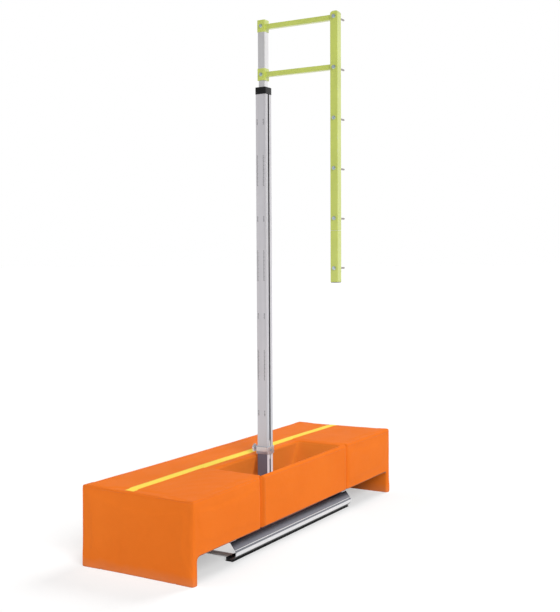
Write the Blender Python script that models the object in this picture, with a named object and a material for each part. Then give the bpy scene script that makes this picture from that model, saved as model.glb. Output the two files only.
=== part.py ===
"""Pole vault standard: a telescoping mast with a peg bar on a sliding carriage, a low base and a foam base pad.

Metres, +Z up. X runs along the crossbar, from the upright towards the pit's middle; Y runs along the runway,
towards the pit. The origin is on the ground, below the middle of the whole object. The base, carriage and mast
are drawn from the mast's axis, the pad from the origin.
"""

import math

import bmesh
import bpy
from mathutils import Matrix, Vector

# Clearances
GAP = 0.0003
SLIDING_GAP = 0.0006

# The mast's axis, seen from the origin
MAST_X = -0.042
MAST_Y = -0.007

# Base rails, formed from aluminium sheet, seen along Y with x from the base's centre line
BASE_FRONT = -0.761
BASE_LENGTH = 1.463
RAIL_SHEET = 0.0035
RAIL_BEND = 0.0012
RAIL_TOP_INNER = 0.198
RAIL_TOP_OUTER = 0.228
RAIL_TOP = 0.109
RAIL_BEAD = 0.2715
RAIL_BEAD_TOP = 0.0535
RAIL_BEAD_LOW = 0.0495
RAIL_BAND = 0.2675
RAIL_BAND_TOP = 0.0475
RAIL_BAND_LOW = 0.034
RAIL_FOOT_OUTER = 0.2405
RAIL_FOOT_INNER = 0.197
RAIL_FOOT = 0.0065
RAIL_LIP_TOP = 0.021

# Flat straps that tie the rails together
STRAP_WIDTH = 0.062
STRAP_SHEET = 0.005
BOTTOM_STRAP_LEVEL = 0.0095
BOTTOM_STRAP_INSET = 0.035
MIDDLE_STRAP_FROM_FRONT = 0.698

# Rubber strips under the rails
GROUND_STRIP_INNER = 0.1975
GROUND_STRIP_OUTER = 0.246
GROUND_STRIP_OVERHANG = 0.004

# Carriage plate and the glides that run in the rails
PLATE_HALF_WIDTH = 0.2115
PLATE_SHEET = 0.005
PLATE_BEND = 0.004
PLATE_TOP = 0.1045
PLATE_SKIRT_LOW = 0.028
PLATE_FRONT = -0.265
PLATE_REAR = 0.262
GLIDE_LENGTH = 0.090
GLIDE_FROM_END = 0.012
GLIDE_TOP = 0.060
GLIDE_OUTER = 0.252
GLIDE_SOLE = 0.237
GLIDE_CHAMFER_TOP = 0.026
GLIDE_SIDE_GAP = 0.0018

# Foot of the upright
FOOT_PLATE_BACK = -0.050
FOOT_PLATE_PIT = 0.125
FOOT_PLATE_HALF = 0.090
FOOT_PLATE_THICK = 0.010
FOOT_PLATE_CORNER = 0.012
FOOT_PLATE_BOTTOM = PLATE_TOP + GAP
FOOT_PLATE_TOP = FOOT_PLATE_BOTTOM + FOOT_PLATE_THICK
FOOT_BOLTS_X = (-0.022, 0.102)
FOOT_BOLTS_Y = (-0.067, 0.067)
GUSSET_THICK = 0.008
GUSSET_Y = 0.028
GUSSET_HEIGHT = 0.091
GUSSET_REACH = 0.116
GUSSET_TOE = 0.010
GUSSET_CREST = 0.012
SPIGOT_HEIGHT = 0.070
SPIGOT_WALL = 0.005

# Outer upright, a box extrusion with a slot down the side that faces the pit
UPRIGHT = 0.074
UPRIGHT_WALL = 0.0035
UPRIGHT_CORNER = 0.005
UPRIGHT_SLOT = 0.016
UPRIGHT_BOTTOM = FOOT_PLATE_TOP + GAP
UPRIGHT_TOP = 2.799
UPRIGHT_HOLE_Z = 0.146
UPRIGHT_HOLE = 0.004

# Guide cap on top of the upright
CAP = 0.078
CAP_CORNER = 0.007
CAP_LOW = 2.766
CAP_TOP = 2.810
CAP_CHAMFER = 0.002
CAP_BUSH_LOW = 2.745

# Inner mast, the thicker head post over its top and the guide shoe on its foot
MAST = 0.0445
MAST_WALL = 0.003
MAST_CORNER = 0.004
MAST_FOOT = 0.4475
HEAD_POST = 0.0508
HEAD_POST_CORNER = 0.004
HEAD_POST_LOW = 2.854
SHOE_LOW = 0.435
SHOE_TOP = 0.555
SHOE_CORNER = 0.003
SHOE_CHAMFER = 0.003
TONGUE_WIDTH = 0.012
TONGUE_HEIGHT = 0.040

# Lock collar and clamp
COLLAR = 0.089
COLLAR_CORNER = 0.010
COLLAR_LOW = 0.4715
COLLAR_HEIGHT = 0.049
COLLAR_CHAMFER = 0.002
COLLAR_HOLE = UPRIGHT + 2 * SLIDING_GAP
COLLAR_Z = COLLAR_LOW + COLLAR_HEIGHT / 2
BOSS_RADIUS = 0.0145
BOSS_REACH = 0.056
CLAMP_Z = COLLAR_Z + 0.005
SCREW_RADIUS = 0.006
KNOB_RADIUS = 0.026
KNOB_LOBES = 5
KNOB_LOBE_DEPTH = 0.0045
KNOB_INNER = 0.066
KNOB_OUTER = 0.086
KNOB_HUB_RADIUS = 0.0115
KNOB_HUB = 0.005
KNOB_CHAMFER = 0.002

# Peg bar, and the two arms that carry it
PEG_PITCH = 0.3048
TOP_PEG_Z = 3.191
UPPER_PEGS = 5
BAR_REACH = 0.5155
BAR = 0.0508
BAR_WALL = 0.0025
BAR_CORNER = 0.004
BAR_TOP = 3.206
BAR_JOINT = 1.8967
BAR_JOINT_GAP = 0.0015
BAR_BOTTOM = 1.582
BAR_SPIGOT_UP = 0.060
BAR_SPIGOT_DOWN = 0.080
BAR_SPIGOT_WALL = 0.003
BAR_SPIGOT_CORNER = 0.002
ARM = 0.032
ARM_WALL = 0.002
ARM_CORNER = 0.003
UPPER_ARM_Z = 3.188
LOWER_ARM_Z = 2.890
SLEEVE = 0.056
SLEEVE_HEIGHT = 0.075
SLEEVE_CORNER = 0.005
UPPER_SLEEVE_Z = 3.193
LOWER_SLEEVE_Z = 2.890
HEAD_POST_TOP = UPPER_SLEEVE_Z + SLEEVE_HEIGHT / 2 - 0.004
PEG_RADIUS = 0.006
PEG_TIP = 0.110
PLUG_RIM = 0.0035
PLUG_DEPTH = 0.015
PLUG_CORNER = 0.003
BOTTOM_PLUG = 0.0468
BAR_CAP_DEPTH = 0.005
BAR_CAP_RISE = 0.020
PLUG_INSET = 0.001

# Bolts: shank radius, hexagon across its flats, head height, washer radius
FOOT_BOLT = (0.006, 0.018, 0.0075, 0.012)
SLEEVE_BOLT = (0.005, 0.017, 0.0065, 0.0115)
PEG_BOLT = (PEG_RADIUS, 0.018, 0.0075, 0.012)
LINK_BOLT = (0.004, 0.013, 0.0050, 0.0085)
WASHER = 0.0016
BOLT_PLAY = 0.0006
BOLT_TAIL = 0.009

# Foam pad over the base, and the flap that closes its notch
PAD_BACK = -0.499
PAD_FRONT = 0.269
PAD_HALF_LENGTH = 1.252
PAD_HEIGHT = 0.463
PAD_UNDERSIDE = 0.152
PAD_WALL = 0.048
PAD_CROWN = 0.004
PAD_DRAW_IN = 0.008
PAD_SWELL = 0.004
PAD_LEAN = 0.010
PAD_EDGE = 0.012
PAD_CELL = 0.24
NOTCH_BACK = MAST_X - UPRIGHT / 2 - 0.010
NOTCH_UNDERCUT = 0.100
NOTCH_HALF_LENGTH = 0.515
FLAP_FROM = -0.551
FLAP_TO = 0.556
FLAP_THICK = 0.027
FLAP_RECESS = 0.030
FLAP_GAP = 0.0020
TAPE_THICK = 0.0010
HOOK_WIDTH = 0.020
HOOK_LOW = 0.175
HOOK_TOP = 0.430
STRIPE_CENTRE = -0.187
STRIPE_WIDTH = 0.050

COLOURS = {
    "aluminium": ((0.82, 0.82, 0.83), 0.36, 0.9),
    "galvanised_steel": ((0.52, 0.55, 0.57), 0.50, 0.8),
    "black_steel": ((0.015, 0.015, 0.017), 0.45, 0.2),
    "bolt_steel": ((0.45, 0.52, 0.60), 0.35, 1.0),
    "black_plastic": ((0.012, 0.012, 0.013), 0.45, 0.0),
    "nylon": ((0.80, 0.79, 0.74), 0.55, 0.0),
    "rubber": ((0.02, 0.02, 0.02), 0.85, 0.0),
    "yellow_paint": ((0.55, 0.68, 0.12), 0.38, 0.0),
    "orange_cover": ((0.90, 0.21, 0.03), 0.55, 0.0),
    "yellow_tape": ((0.95, 0.72, 0.05), 0.50, 0.0),
    "hook_and_loop": ((0.03, 0.03, 0.03), 0.90, 0.0),
}


def clear_scene():
    for obj in list(bpy.data.objects):
        bpy.data.objects.remove(obj, do_unlink=True)


def material(name):
    found = bpy.data.materials.get(name)
    if found:
        return found
    colour, roughness, metallic = COLOURS[name]
    made = bpy.data.materials.new(name)
    made.use_nodes = True
    shader = made.node_tree.nodes["Principled BSDF"]
    shader.inputs["Base Color"].default_value = (*colour, 1.0)
    shader.inputs["Roughness"].default_value = roughness
    shader.inputs["Metallic"].default_value = metallic
    return made


def body(name, location, parent=None):
    """An empty that carries one rigid body; its place is counted from its parent's."""
    empty = bpy.data.objects.new(name, None)
    bpy.context.scene.collection.objects.link(empty)
    empty.parent = parent
    empty.location = location
    return empty


def piece(name, mesh, finish, parent, location=(0, 0, 0), rotation=(0, 0, 0), smooth=False):
    """One named sub-part, placed in its body's frame."""
    obj = bpy.data.objects.new(name, mesh)
    bpy.context.scene.collection.objects.link(obj)
    if not mesh.materials:
        mesh.materials.append(material(finish))
    if smooth:
        mesh.shade_smooth()
        mesh.set_sharp_from_angle(angle=math.radians(35))
    obj.parent = parent
    obj.location = location
    obj.rotation_euler = rotation
    return obj


def mesh_of(bm, name):
    bmesh.ops.recalc_face_normals(bm, faces=bm.faces)
    if bm.calc_volume(signed=True) < 0:
        bmesh.ops.reverse_faces(bm, faces=bm.faces)
    mesh = bpy.data.meshes.new(name)
    bm.to_mesh(mesh)
    bm.free()
    return mesh


def combined(base, other, operation):
    maker = bpy.data.objects.new("maker", base)
    helper = bpy.data.objects.new("helper", other)
    for obj in (maker, helper):
        bpy.context.scene.collection.objects.link(obj)
    step = maker.modifiers.new("Boolean", "BOOLEAN")
    step.operation = operation
    step.solver = "EXACT"
    step.object = helper
    bpy.context.view_layer.update()
    graph = bpy.context.evaluated_depsgraph_get()
    result = bpy.data.meshes.new_from_object(maker.evaluated_get(graph))
    for obj in (maker, helper):
        bpy.data.objects.remove(obj, do_unlink=True)
    return result


def fused(base, others):
    """The mesh of base joined with each of the others in turn."""
    for other in others:
        base = combined(base, other, "UNION")
    return base


def cut(base, cutters):
    """The mesh of base less the cutters, which don't touch each other and are taken away in one go."""
    bm = bmesh.new()
    for cutter in cutters:
        bm.from_mesh(cutter)
    return combined(base, mesh_of(bm, "cutter"), "DIFFERENCE")


def circle(radius, sides, centre=(0, 0)):
    turns = [math.tau * i / sides for i in range(sides)]
    return [(centre[0] + radius * math.cos(t), centre[1] + radius * math.sin(t)) for t in turns]


def rounded_square(width, radius, segments=2):
    """Corner points of a square about the origin, anticlockwise from the middle of its +X side."""
    reach = width / 2 - radius
    points = []
    for corner in range(4):
        for step in range(segments + 1):
            turn = math.radians(90 * (corner + step / segments))
            middle = math.radians(90 * corner + 45)
            x = math.copysign(reach, math.cos(middle)) + radius * math.cos(turn)
            y = math.copysign(reach, math.sin(middle)) + radius * math.sin(turn)
            points.append((x, y))
    return points


def ring(bm, points, place):
    """Vertices through 2-D points, lifted into space by place."""
    return [bm.verts.new(place(u, v)) for u, v in points]


def band(bm, lower, upper):
    """The strip of faces between two rings of the same count, corner to corner."""
    return [bm.faces.new((lower[i - 1], lower[i], upper[i], upper[i - 1])) for i in range(len(lower))]


def prism(outline, low, high, along="Z", hole=None):
    """A section pushed along an axis, with an optional hole of the same count of points through it.

    The section's two numbers are x and y for Z, x and z for Y, and y and z for X.
    """
    places = {
        "Z": (lambda u, v: (u, v, low), Vector((0, 0, high - low))),
        "Y": (lambda u, v: (u, low, v), Vector((0, high - low, 0))),
        "X": (lambda u, v: (low, u, v), Vector((high - low, 0, 0))),
    }
    place, push = places[along]
    bm = bmesh.new()
    outer = ring(bm, outline, place)
    faces = band(bm, outer, ring(bm, hole, place)) if hole else [bm.faces.new(outer)]
    pushed = bmesh.ops.extrude_face_region(bm, geom=faces, use_keep_orig=True)["geom"]
    bmesh.ops.translate(bm, verts=[v for v in pushed if isinstance(v, bmesh.types.BMVert)], vec=push)
    return mesh_of(bm, "prism")


def box(low, high):
    """A plain block between two corners."""
    size = [b - a for a, b in zip(low, high)]
    centre = [(a + b) / 2 for a, b in zip(low, high)]
    bm = bmesh.new()
    bmesh.ops.create_cube(bm, size=1, matrix=Matrix.Translation(centre) @ Matrix.Diagonal((*size, 1)))
    return mesh_of(bm, "box")


def square_tube(width, wall, corner, low, high, along="Z", centre=(0, 0)):
    inner = max(corner - wall, 0.001)
    outer = [(u + centre[0], v + centre[1]) for u, v in rounded_square(width, corner)]
    hole = [(u + centre[0], v + centre[1]) for u, v in rounded_square(width - 2 * wall, inner)]
    return prism(outer, low, high, along, hole)


def square_form(rings, closed=False):
    """Rounded squares (width, corner radius, z) joined one to the next, and the last to the first or both filled."""
    bm = bmesh.new()
    loops = [ring(bm, rounded_square(width, corner), lambda u, v, z=z: (u, v, z)) for width, corner, z in rings]
    for lower, upper in zip(loops, loops[1:]):
        band(bm, lower, upper)
    if closed:
        band(bm, loops[-1], loops[0])
    else:
        bm.faces.new(loops[0])
        bm.faces.new(loops[-1])
    return mesh_of(bm, "square form")


def turned(profile, sides=16):
    """A solid of revolution about Z from (radius, z) points that start and end on the axis."""
    bm = bmesh.new()
    corners = [bm.verts.new((r, 0, z)) for r, z in profile]
    edges = [bm.edges.new(pair) for pair in zip(corners, corners[1:])]
    bmesh.ops.spin(
        bm, geom=corners + edges, cent=(0, 0, 0), axis=(0, 0, 1), angle=math.tau, steps=sides, use_merge=True
    )
    bmesh.ops.remove_doubles(bm, verts=bm.verts, dist=1e-6)
    return mesh_of(bm, "turned")


def filleted(path, radius, segments=2):
    """An open path whose inner corners are replaced by arcs."""
    points = [Vector(path[0])]
    for before, corner, after in zip(path, path[1:], path[2:]):
        corner = Vector(corner)
        back = (Vector(before) - corner).normalized()
        ahead = (Vector(after) - corner).normalized()
        half = back.angle(ahead) / 2
        centre = corner + (back + ahead).normalized() * radius / math.sin(half)
        start = corner + back * radius / math.tan(half) - centre
        end = corner + ahead * radius / math.tan(half) - centre
        sweep = math.atan2(start.x * end.y - start.y * end.x, start.dot(end))
        for step in range(segments + 1):
            turn = sweep * step / segments
            spoke = Vector(
                (
                    start.x * math.cos(turn) - start.y * math.sin(turn),
                    start.x * math.sin(turn) + start.y * math.cos(turn),
                )
            )
            points.append(centre + spoke)
    points.append(Vector(path[-1]))
    return points


def offset_right(path, distance):
    """The path moved to the right of its own direction, with mitred corners."""
    moved = []
    for i, point in enumerate(path):
        ways = [(b - a).normalized() for a, b in zip(path[max(i - 1, 0) : i + 1], path[max(i, 1) : i + 2])]
        sides = [Vector((way.y, -way.x)) for way in ways]
        mitre = sum(sides, Vector((0, 0))).normalized()
        moved.append(point + mitre * distance / mitre.dot(sides[0]))
    return moved


def mirrored(outline):
    return [(-x, z) for x, z in reversed(outline)]


def bolt(kind, reach, nut=None, tail=0.0, sides=12):
    """A hexagon bolt along Z with its washer's seat at z = 0 and its head above.

    Its shank goes down by reach. nut is the depth of the far nut's seat, and tail is the shank's length past reach.
    """
    shank, flats, head, washer = kind
    corner = flats / math.sqrt(3)
    low = -(reach + tail)
    tip = 0.3 * shank
    profile = [(0, low), (shank - tip, low), (shank, low + tip), (shank, 0), (washer, 0), (washer, WASHER), (0, WASHER)]
    parts = [prism(circle(corner, 6), WASHER / 2, WASHER + head)]
    if nut:
        parts.append(prism(circle(corner, 6), -nut - head, -nut))
    return fused(turned(profile, sides), parts)


def rail_section():
    """A rail's outline, x outwards: one bent sheet, with a drip bead where its slope meets its side band."""
    slope_run = RAIL_BEAD - RAIL_TOP_OUTER
    slope_drop = RAIL_TOP - RAIL_BEAD_TOP
    band_top = RAIL_TOP - slope_drop * (RAIL_BAND - RAIL_TOP_OUTER) / slope_run
    top = [(RAIL_TOP_INNER, RAIL_TOP), (RAIL_TOP_OUTER, RAIL_TOP)]
    lower = [
        (RAIL_BAND, RAIL_BAND_LOW),
        (RAIL_FOOT_OUTER, RAIL_FOOT),
        (RAIL_FOOT_INNER, RAIL_FOOT),
        (RAIL_FOOT_INNER, RAIL_LIP_TOP),
    ]
    radius = RAIL_BEND + RAIL_SHEET
    skin = filleted([*top, (RAIL_BEAD, RAIL_BEAD_TOP)], radius)
    skin.append(Vector((RAIL_BEAD, RAIL_BEAD_LOW)))
    skin += filleted([(RAIL_BAND, RAIL_BAND_TOP), *lower], radius)
    inside = offset_right(filleted([*top, (RAIL_BAND, band_top), *lower], radius), RAIL_SHEET)
    return [tuple(p) for p in skin + inside[::-1]]


def make_base(parent):
    rear = BASE_FRONT + BASE_LENGTH
    section = rail_section()
    piece("pit_side_rail", prism(section, BASE_FRONT, rear, "Y"), "aluminium", parent)
    piece("outer_side_rail", prism(mirrored(section), BASE_FRONT, rear, "Y"), "aluminium", parent)

    top_low = RAIL_TOP + GAP
    for name, front in (("front_top_strap", BASE_FRONT), ("rear_top_strap", rear - STRAP_WIDTH)):
        mesh = box(
            (-RAIL_TOP_OUTER, front, top_low),
            (RAIL_TOP_OUTER, front + STRAP_WIDTH, top_low + STRAP_SHEET),
        )
        piece(name, mesh, "aluminium", parent)

    half = RAIL_FOOT_INNER - GAP
    bottom_straps = {
        "front_bottom_strap": BASE_FRONT + BOTTOM_STRAP_INSET,
        "middle_bottom_strap": BASE_FRONT + MIDDLE_STRAP_FROM_FRONT - STRAP_WIDTH / 2,
        "rear_bottom_strap": rear - BOTTOM_STRAP_INSET - STRAP_WIDTH,
    }
    for name, front in bottom_straps.items():
        low = BOTTOM_STRAP_LEVEL
        mesh = box((-half, front, low), (half, front + STRAP_WIDTH, low + STRAP_SHEET))
        piece(name, mesh, "aluminium", parent)

    strip = [
        (GROUND_STRIP_INNER, 0),
        (GROUND_STRIP_OUTER, 0),
        (GROUND_STRIP_OUTER, (RAIL_FOOT - GAP) / 2),
        (RAIL_FOOT_OUTER, RAIL_FOOT - GAP),
        (GROUND_STRIP_INNER, RAIL_FOOT - GAP),
    ]
    ends = (BASE_FRONT - GROUND_STRIP_OVERHANG, rear + GROUND_STRIP_OVERHANG)
    piece("pit_side_ground_strip", prism(strip, *ends, "Y"), "rubber", parent)
    piece("outer_ground_strip", prism(mirrored(strip), *ends, "Y"), "rubber", parent)


def carriage_plate():
    """A sheet with both long sides bent down, and holes for the foot bolts."""
    path = [
        (-PLATE_HALF_WIDTH, PLATE_SKIRT_LOW),
        (-PLATE_HALF_WIDTH, PLATE_TOP),
        (PLATE_HALF_WIDTH, PLATE_TOP),
        (PLATE_HALF_WIDTH, PLATE_SKIRT_LOW),
    ]
    skin = filleted(path, PLATE_BEND + PLATE_SHEET)
    outline = [tuple(p) for p in skin + offset_right(skin, PLATE_SHEET)[::-1]]
    plate = prism(outline, PLATE_FRONT, PLATE_REAR, "Y")
    return cut(plate, foot_bolt_holes(PLATE_TOP - 2 * PLATE_SHEET, PLATE_TOP + PLATE_SHEET))


def foot_bolt_holes(low, high):
    radius = FOOT_BOLT[0] + BOLT_PLAY
    return [prism(circle(radius, 12, (x, y)), low, high) for x in FOOT_BOLTS_X for y in FOOT_BOLTS_Y]


def glide_section():
    """A glide's outline, x outwards: its sole runs between the rail's lip and its slope, its back carries the skirt."""
    sole_inner = RAIL_FOOT_INNER + RAIL_SHEET + GLIDE_SIDE_GAP
    sole = RAIL_FOOT + RAIL_SHEET + GAP
    back = PLATE_HALF_WIDTH + GAP
    ledge = PLATE_SKIRT_LOW - GAP
    return [
        (sole_inner, sole),
        (GLIDE_SOLE, sole),
        (GLIDE_OUTER, GLIDE_CHAMFER_TOP),
        (GLIDE_OUTER, GLIDE_TOP),
        (back, GLIDE_TOP),
        (back, ledge),
        (sole_inner, ledge),
    ]


def foot_plate():
    c = FOOT_PLATE_CORNER
    x0, x1, y = FOOT_PLATE_BACK, FOOT_PLATE_PIT, FOOT_PLATE_HALF
    outline = [
        (x0 + c, -y),
        (x1 - c, -y),
        (x1, -y + c),
        (x1, y - c),
        (x1 - c, y),
        (x0 + c, y),
        (x0, y - c),
        (x0, -y + c),
    ]
    plate = prism(outline, FOOT_PLATE_BOTTOM, FOOT_PLATE_TOP)
    holes = foot_bolt_holes(FOOT_PLATE_BOTTOM - FOOT_PLATE_THICK, FOOT_PLATE_TOP + FOOT_PLATE_THICK)
    return cut(plate, holes)


def outer_upright():
    """The slotted box extrusion, with the small hole of its spigot's rivet in the front face."""
    outer = rounded_square(UPRIGHT, UPRIGHT_CORNER)
    inner = rounded_square(UPRIGHT - 2 * UPRIGHT_WALL, UPRIGHT_CORNER - UPRIGHT_WALL)
    face, back, edge = UPRIGHT / 2, UPRIGHT / 2 - UPRIGHT_WALL, UPRIGHT_SLOT / 2
    outline = [(face, edge), *outer, (face, -edge), (back, -edge), *reversed(inner), (back, edge)]
    tube = prism(outline, UPRIGHT_BOTTOM, UPRIGHT_TOP)
    hole = prism(circle(UPRIGHT_HOLE, 12, (0, UPRIGHT_HOLE_Z)), -UPRIGHT, 0, "Y")
    return cut(tube, [hole])


def upright_cap():
    """A skirt outside the upright, a lid on its end and a guide bush inside it, round the mast."""
    skirt_inner = UPRIGHT + 2 * GAP
    bush = UPRIGHT - 2 * UPRIGHT_WALL - 2 * GAP
    bore = MAST + 2 * SLIDING_GAP
    lid = UPRIGHT_TOP + GAP
    rings = [
        (CAP, CAP_CORNER, CAP_LOW),
        (CAP, CAP_CORNER, CAP_TOP - CAP_CHAMFER),
        (CAP - 2 * CAP_CHAMFER, UPRIGHT_CORNER, CAP_TOP),
        (bore + CAP_CHAMFER, MAST_CORNER, CAP_TOP),
        (bore, MAST_CORNER, CAP_TOP - CAP_CHAMFER),
        (bore, MAST_CORNER, CAP_BUSH_LOW),
        (bush, UPRIGHT_CORNER - UPRIGHT_WALL, CAP_BUSH_LOW),
        (bush, UPRIGHT_CORNER - UPRIGHT_WALL, lid),
        (skirt_inner, UPRIGHT_CORNER, lid),
        (skirt_inner, UPRIGHT_CORNER, CAP_LOW),
    ]
    return square_form(rings, closed=True)


def make_carriage(parent):
    piece("carriage_plate", carriage_plate(), "galvanised_steel", parent)
    section = glide_section()
    sides = (("pit_side", section), ("outer", mirrored(section)))
    ends = (("front", PLATE_FRONT + GLIDE_FROM_END), ("rear", PLATE_REAR - GLIDE_FROM_END - GLIDE_LENGTH))
    for side, outline in sides:
        for end, start in ends:
            glide = prism(outline, start, start + GLIDE_LENGTH, "Y")
            piece(f"{end}_{side}_glide", glide, "nylon", parent)

    piece("upright_base_plate", foot_plate(), "black_steel", parent)
    low = FOOT_PLATE_TOP + GAP
    face = UPRIGHT / 2 + GAP
    gusset = [
        (face, low),
        (GUSSET_REACH, low),
        (GUSSET_REACH, low + GUSSET_TOE),
        (face + GUSSET_CREST, low + GUSSET_HEIGHT),
        (face, low + GUSSET_HEIGHT),
    ]
    for name, middle in (("front_gusset", -GUSSET_Y), ("rear_gusset", GUSSET_Y)):
        mesh = prism(gusset, middle - GUSSET_THICK / 2, middle + GUSSET_THICK / 2, "Y")
        piece(name, mesh, "black_steel", parent)

    spigot = UPRIGHT - 2 * UPRIGHT_WALL - 2 * SLIDING_GAP
    mesh = square_tube(spigot, SPIGOT_WALL, UPRIGHT_CORNER - UPRIGHT_WALL, low, low + SPIGOT_HEIGHT)
    piece("upright_spigot", mesh, "black_steel", parent)

    foot_bolt = bolt(FOOT_BOLT, FOOT_PLATE_THICK + PLATE_SHEET, FOOT_PLATE_THICK + PLATE_SHEET + 3 * GAP, BOLT_TAIL)
    places = [(x, y) for x in FOOT_BOLTS_X for y in FOOT_BOLTS_Y]
    for number, (x, y) in enumerate(places, 1):
        piece(f"foot_bolt_{number}", foot_bolt, "bolt_steel", parent, (x, y, FOOT_PLATE_TOP + GAP), smooth=True)

    piece("outer_upright", outer_upright(), "aluminium", parent)
    piece("upright_cap", upright_cap(), "black_plastic", parent)


def guide_shoe():
    """A block with a pocket for the mast's foot, and a tongue that reaches through the upright's slot."""
    width = UPRIGHT - 2 * UPRIGHT_WALL - 2 * SLIDING_GAP
    narrow = width - 2 * SHOE_CHAMFER
    pocket = MAST + 2 * GAP
    rings = [
        (narrow, SHOE_CORNER, SHOE_LOW),
        (width, SHOE_CORNER, SHOE_LOW + SHOE_CHAMFER),
        (width, SHOE_CORNER, SHOE_TOP - SHOE_CHAMFER),
        (narrow, SHOE_CORNER, SHOE_TOP),
        (pocket, MAST_CORNER, SHOE_TOP),
        (pocket, MAST_CORNER, MAST_FOOT - GAP),
    ]
    tongue_top = COLLAR_Z + TONGUE_HEIGHT / 2
    tongue = box(
        (width / 2 - SHOE_CHAMFER, -TONGUE_WIDTH / 2, tongue_top - TONGUE_HEIGHT),
        (COLLAR_HOLE / 2 - GAP, TONGUE_WIDTH / 2, tongue_top),
    )
    block = fused(square_form(rings), [tongue])
    return cut(block, [link_bolt_hole()])


def link_bolt_hole():
    return prism(circle(LINK_BOLT[0] + BOLT_PLAY, 12, (0, COLLAR_Z)), 0, COLLAR, "X")


def lock_collar():
    """A square ring that slides on the upright, with a boss for the clamp screw on its outer side."""
    rings = [
        (COLLAR - 2 * COLLAR_CHAMFER, COLLAR_CORNER - COLLAR_CHAMFER, COLLAR_LOW),
        (COLLAR, COLLAR_CORNER, COLLAR_LOW + COLLAR_CHAMFER),
        (COLLAR, COLLAR_CORNER, COLLAR_LOW + COLLAR_HEIGHT - COLLAR_CHAMFER),
        (COLLAR - 2 * COLLAR_CHAMFER, COLLAR_CORNER - COLLAR_CHAMFER, COLLAR_LOW + COLLAR_HEIGHT),
        (COLLAR_HOLE, UPRIGHT_CORNER, COLLAR_LOW + COLLAR_HEIGHT),
        (COLLAR_HOLE, UPRIGHT_CORNER, COLLAR_LOW),
    ]
    wall = (COLLAR - COLLAR_HOLE) / 2
    boss = prism(circle(BOSS_RADIUS, 20, (0, CLAMP_Z)), -BOSS_REACH, -COLLAR / 2 + wall / 2, "X")
    block = fused(square_form(rings, closed=True), [boss])
    screw_hole = prism(circle(SCREW_RADIUS + BOLT_PLAY, 12, (0, CLAMP_Z)), -COLLAR, 0, "X")
    return cut(block, [screw_hole, link_bolt_hole()])


def sleeve_bolt_holes():
    radius = SLEEVE_BOLT[0] + BOLT_PLAY
    return [prism(circle(radius, 12, (0, z)), -SLEEVE, SLEEVE, "Y") for z in (UPPER_SLEEVE_Z, LOWER_SLEEVE_Z)]


def end_plug(width, bore, depth, seat, up):
    """A square plug whose rim covers a tube's end at z = seat; up is 1 on a top end and -1 on a bottom end."""
    rings = [
        (bore - 2 * PLUG_INSET, PLUG_CORNER, seat - up * depth),
        (bore, PLUG_CORNER, seat - up * (depth - PLUG_INSET)),
        (bore, PLUG_CORNER, seat + up * GAP),
        (width, PLUG_CORNER, seat + up * GAP),
        (width, PLUG_CORNER, seat + up * PLUG_RIM / 2),
        (width - 2 * PLUG_INSET, PLUG_CORNER, seat + up * (PLUG_RIM + GAP)),
    ]
    return square_form(rings)


def domed_cap(width, bore, depth, rise, seat):
    """A cap on a square tube's top end at z = seat, with a plug inside the tube and a low dome above it."""
    rings = [
        (bore - 2 * PLUG_INSET, PLUG_CORNER, seat - depth),
        (bore, PLUG_CORNER, seat - depth + PLUG_INSET),
        (bore, PLUG_CORNER, seat + GAP),
        (width, BAR_CORNER, seat + GAP),
        (width, BAR_CORNER, seat + 0.25 * rise),
        (0.86 * width, BAR_CORNER, seat + 0.65 * rise),
        (0.55 * width, BAR_CORNER, seat + rise),
    ]
    return square_form(rings)


def peg_holes(heights):
    """Cutters for the pegs' holes, with heights counted in the bar's own frame."""
    return [prism(circle(PEG_RADIUS + BOLT_PLAY, 12, (0, z)), -BAR, BAR, "Y") for z in heights]


def crossbar_peg():
    """A bolt through the bar whose long plain shank stands out towards the pit; the crossbar lies on it."""
    return bolt(PEG_BOLT, BAR + 2 * GAP, BAR + 2 * GAP, PEG_TIP - BAR / 2, sides=16)


def add_pegs(first, heights, parent):
    peg = crossbar_peg()
    for number, z in enumerate(heights, first):
        place = (0, -BAR / 2 - GAP, z)
        turn = (math.radians(90), 0, 0)
        piece(f"crossbar_peg_{number}", peg, "bolt_steel", parent, place, turn, smooth=True)


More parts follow.
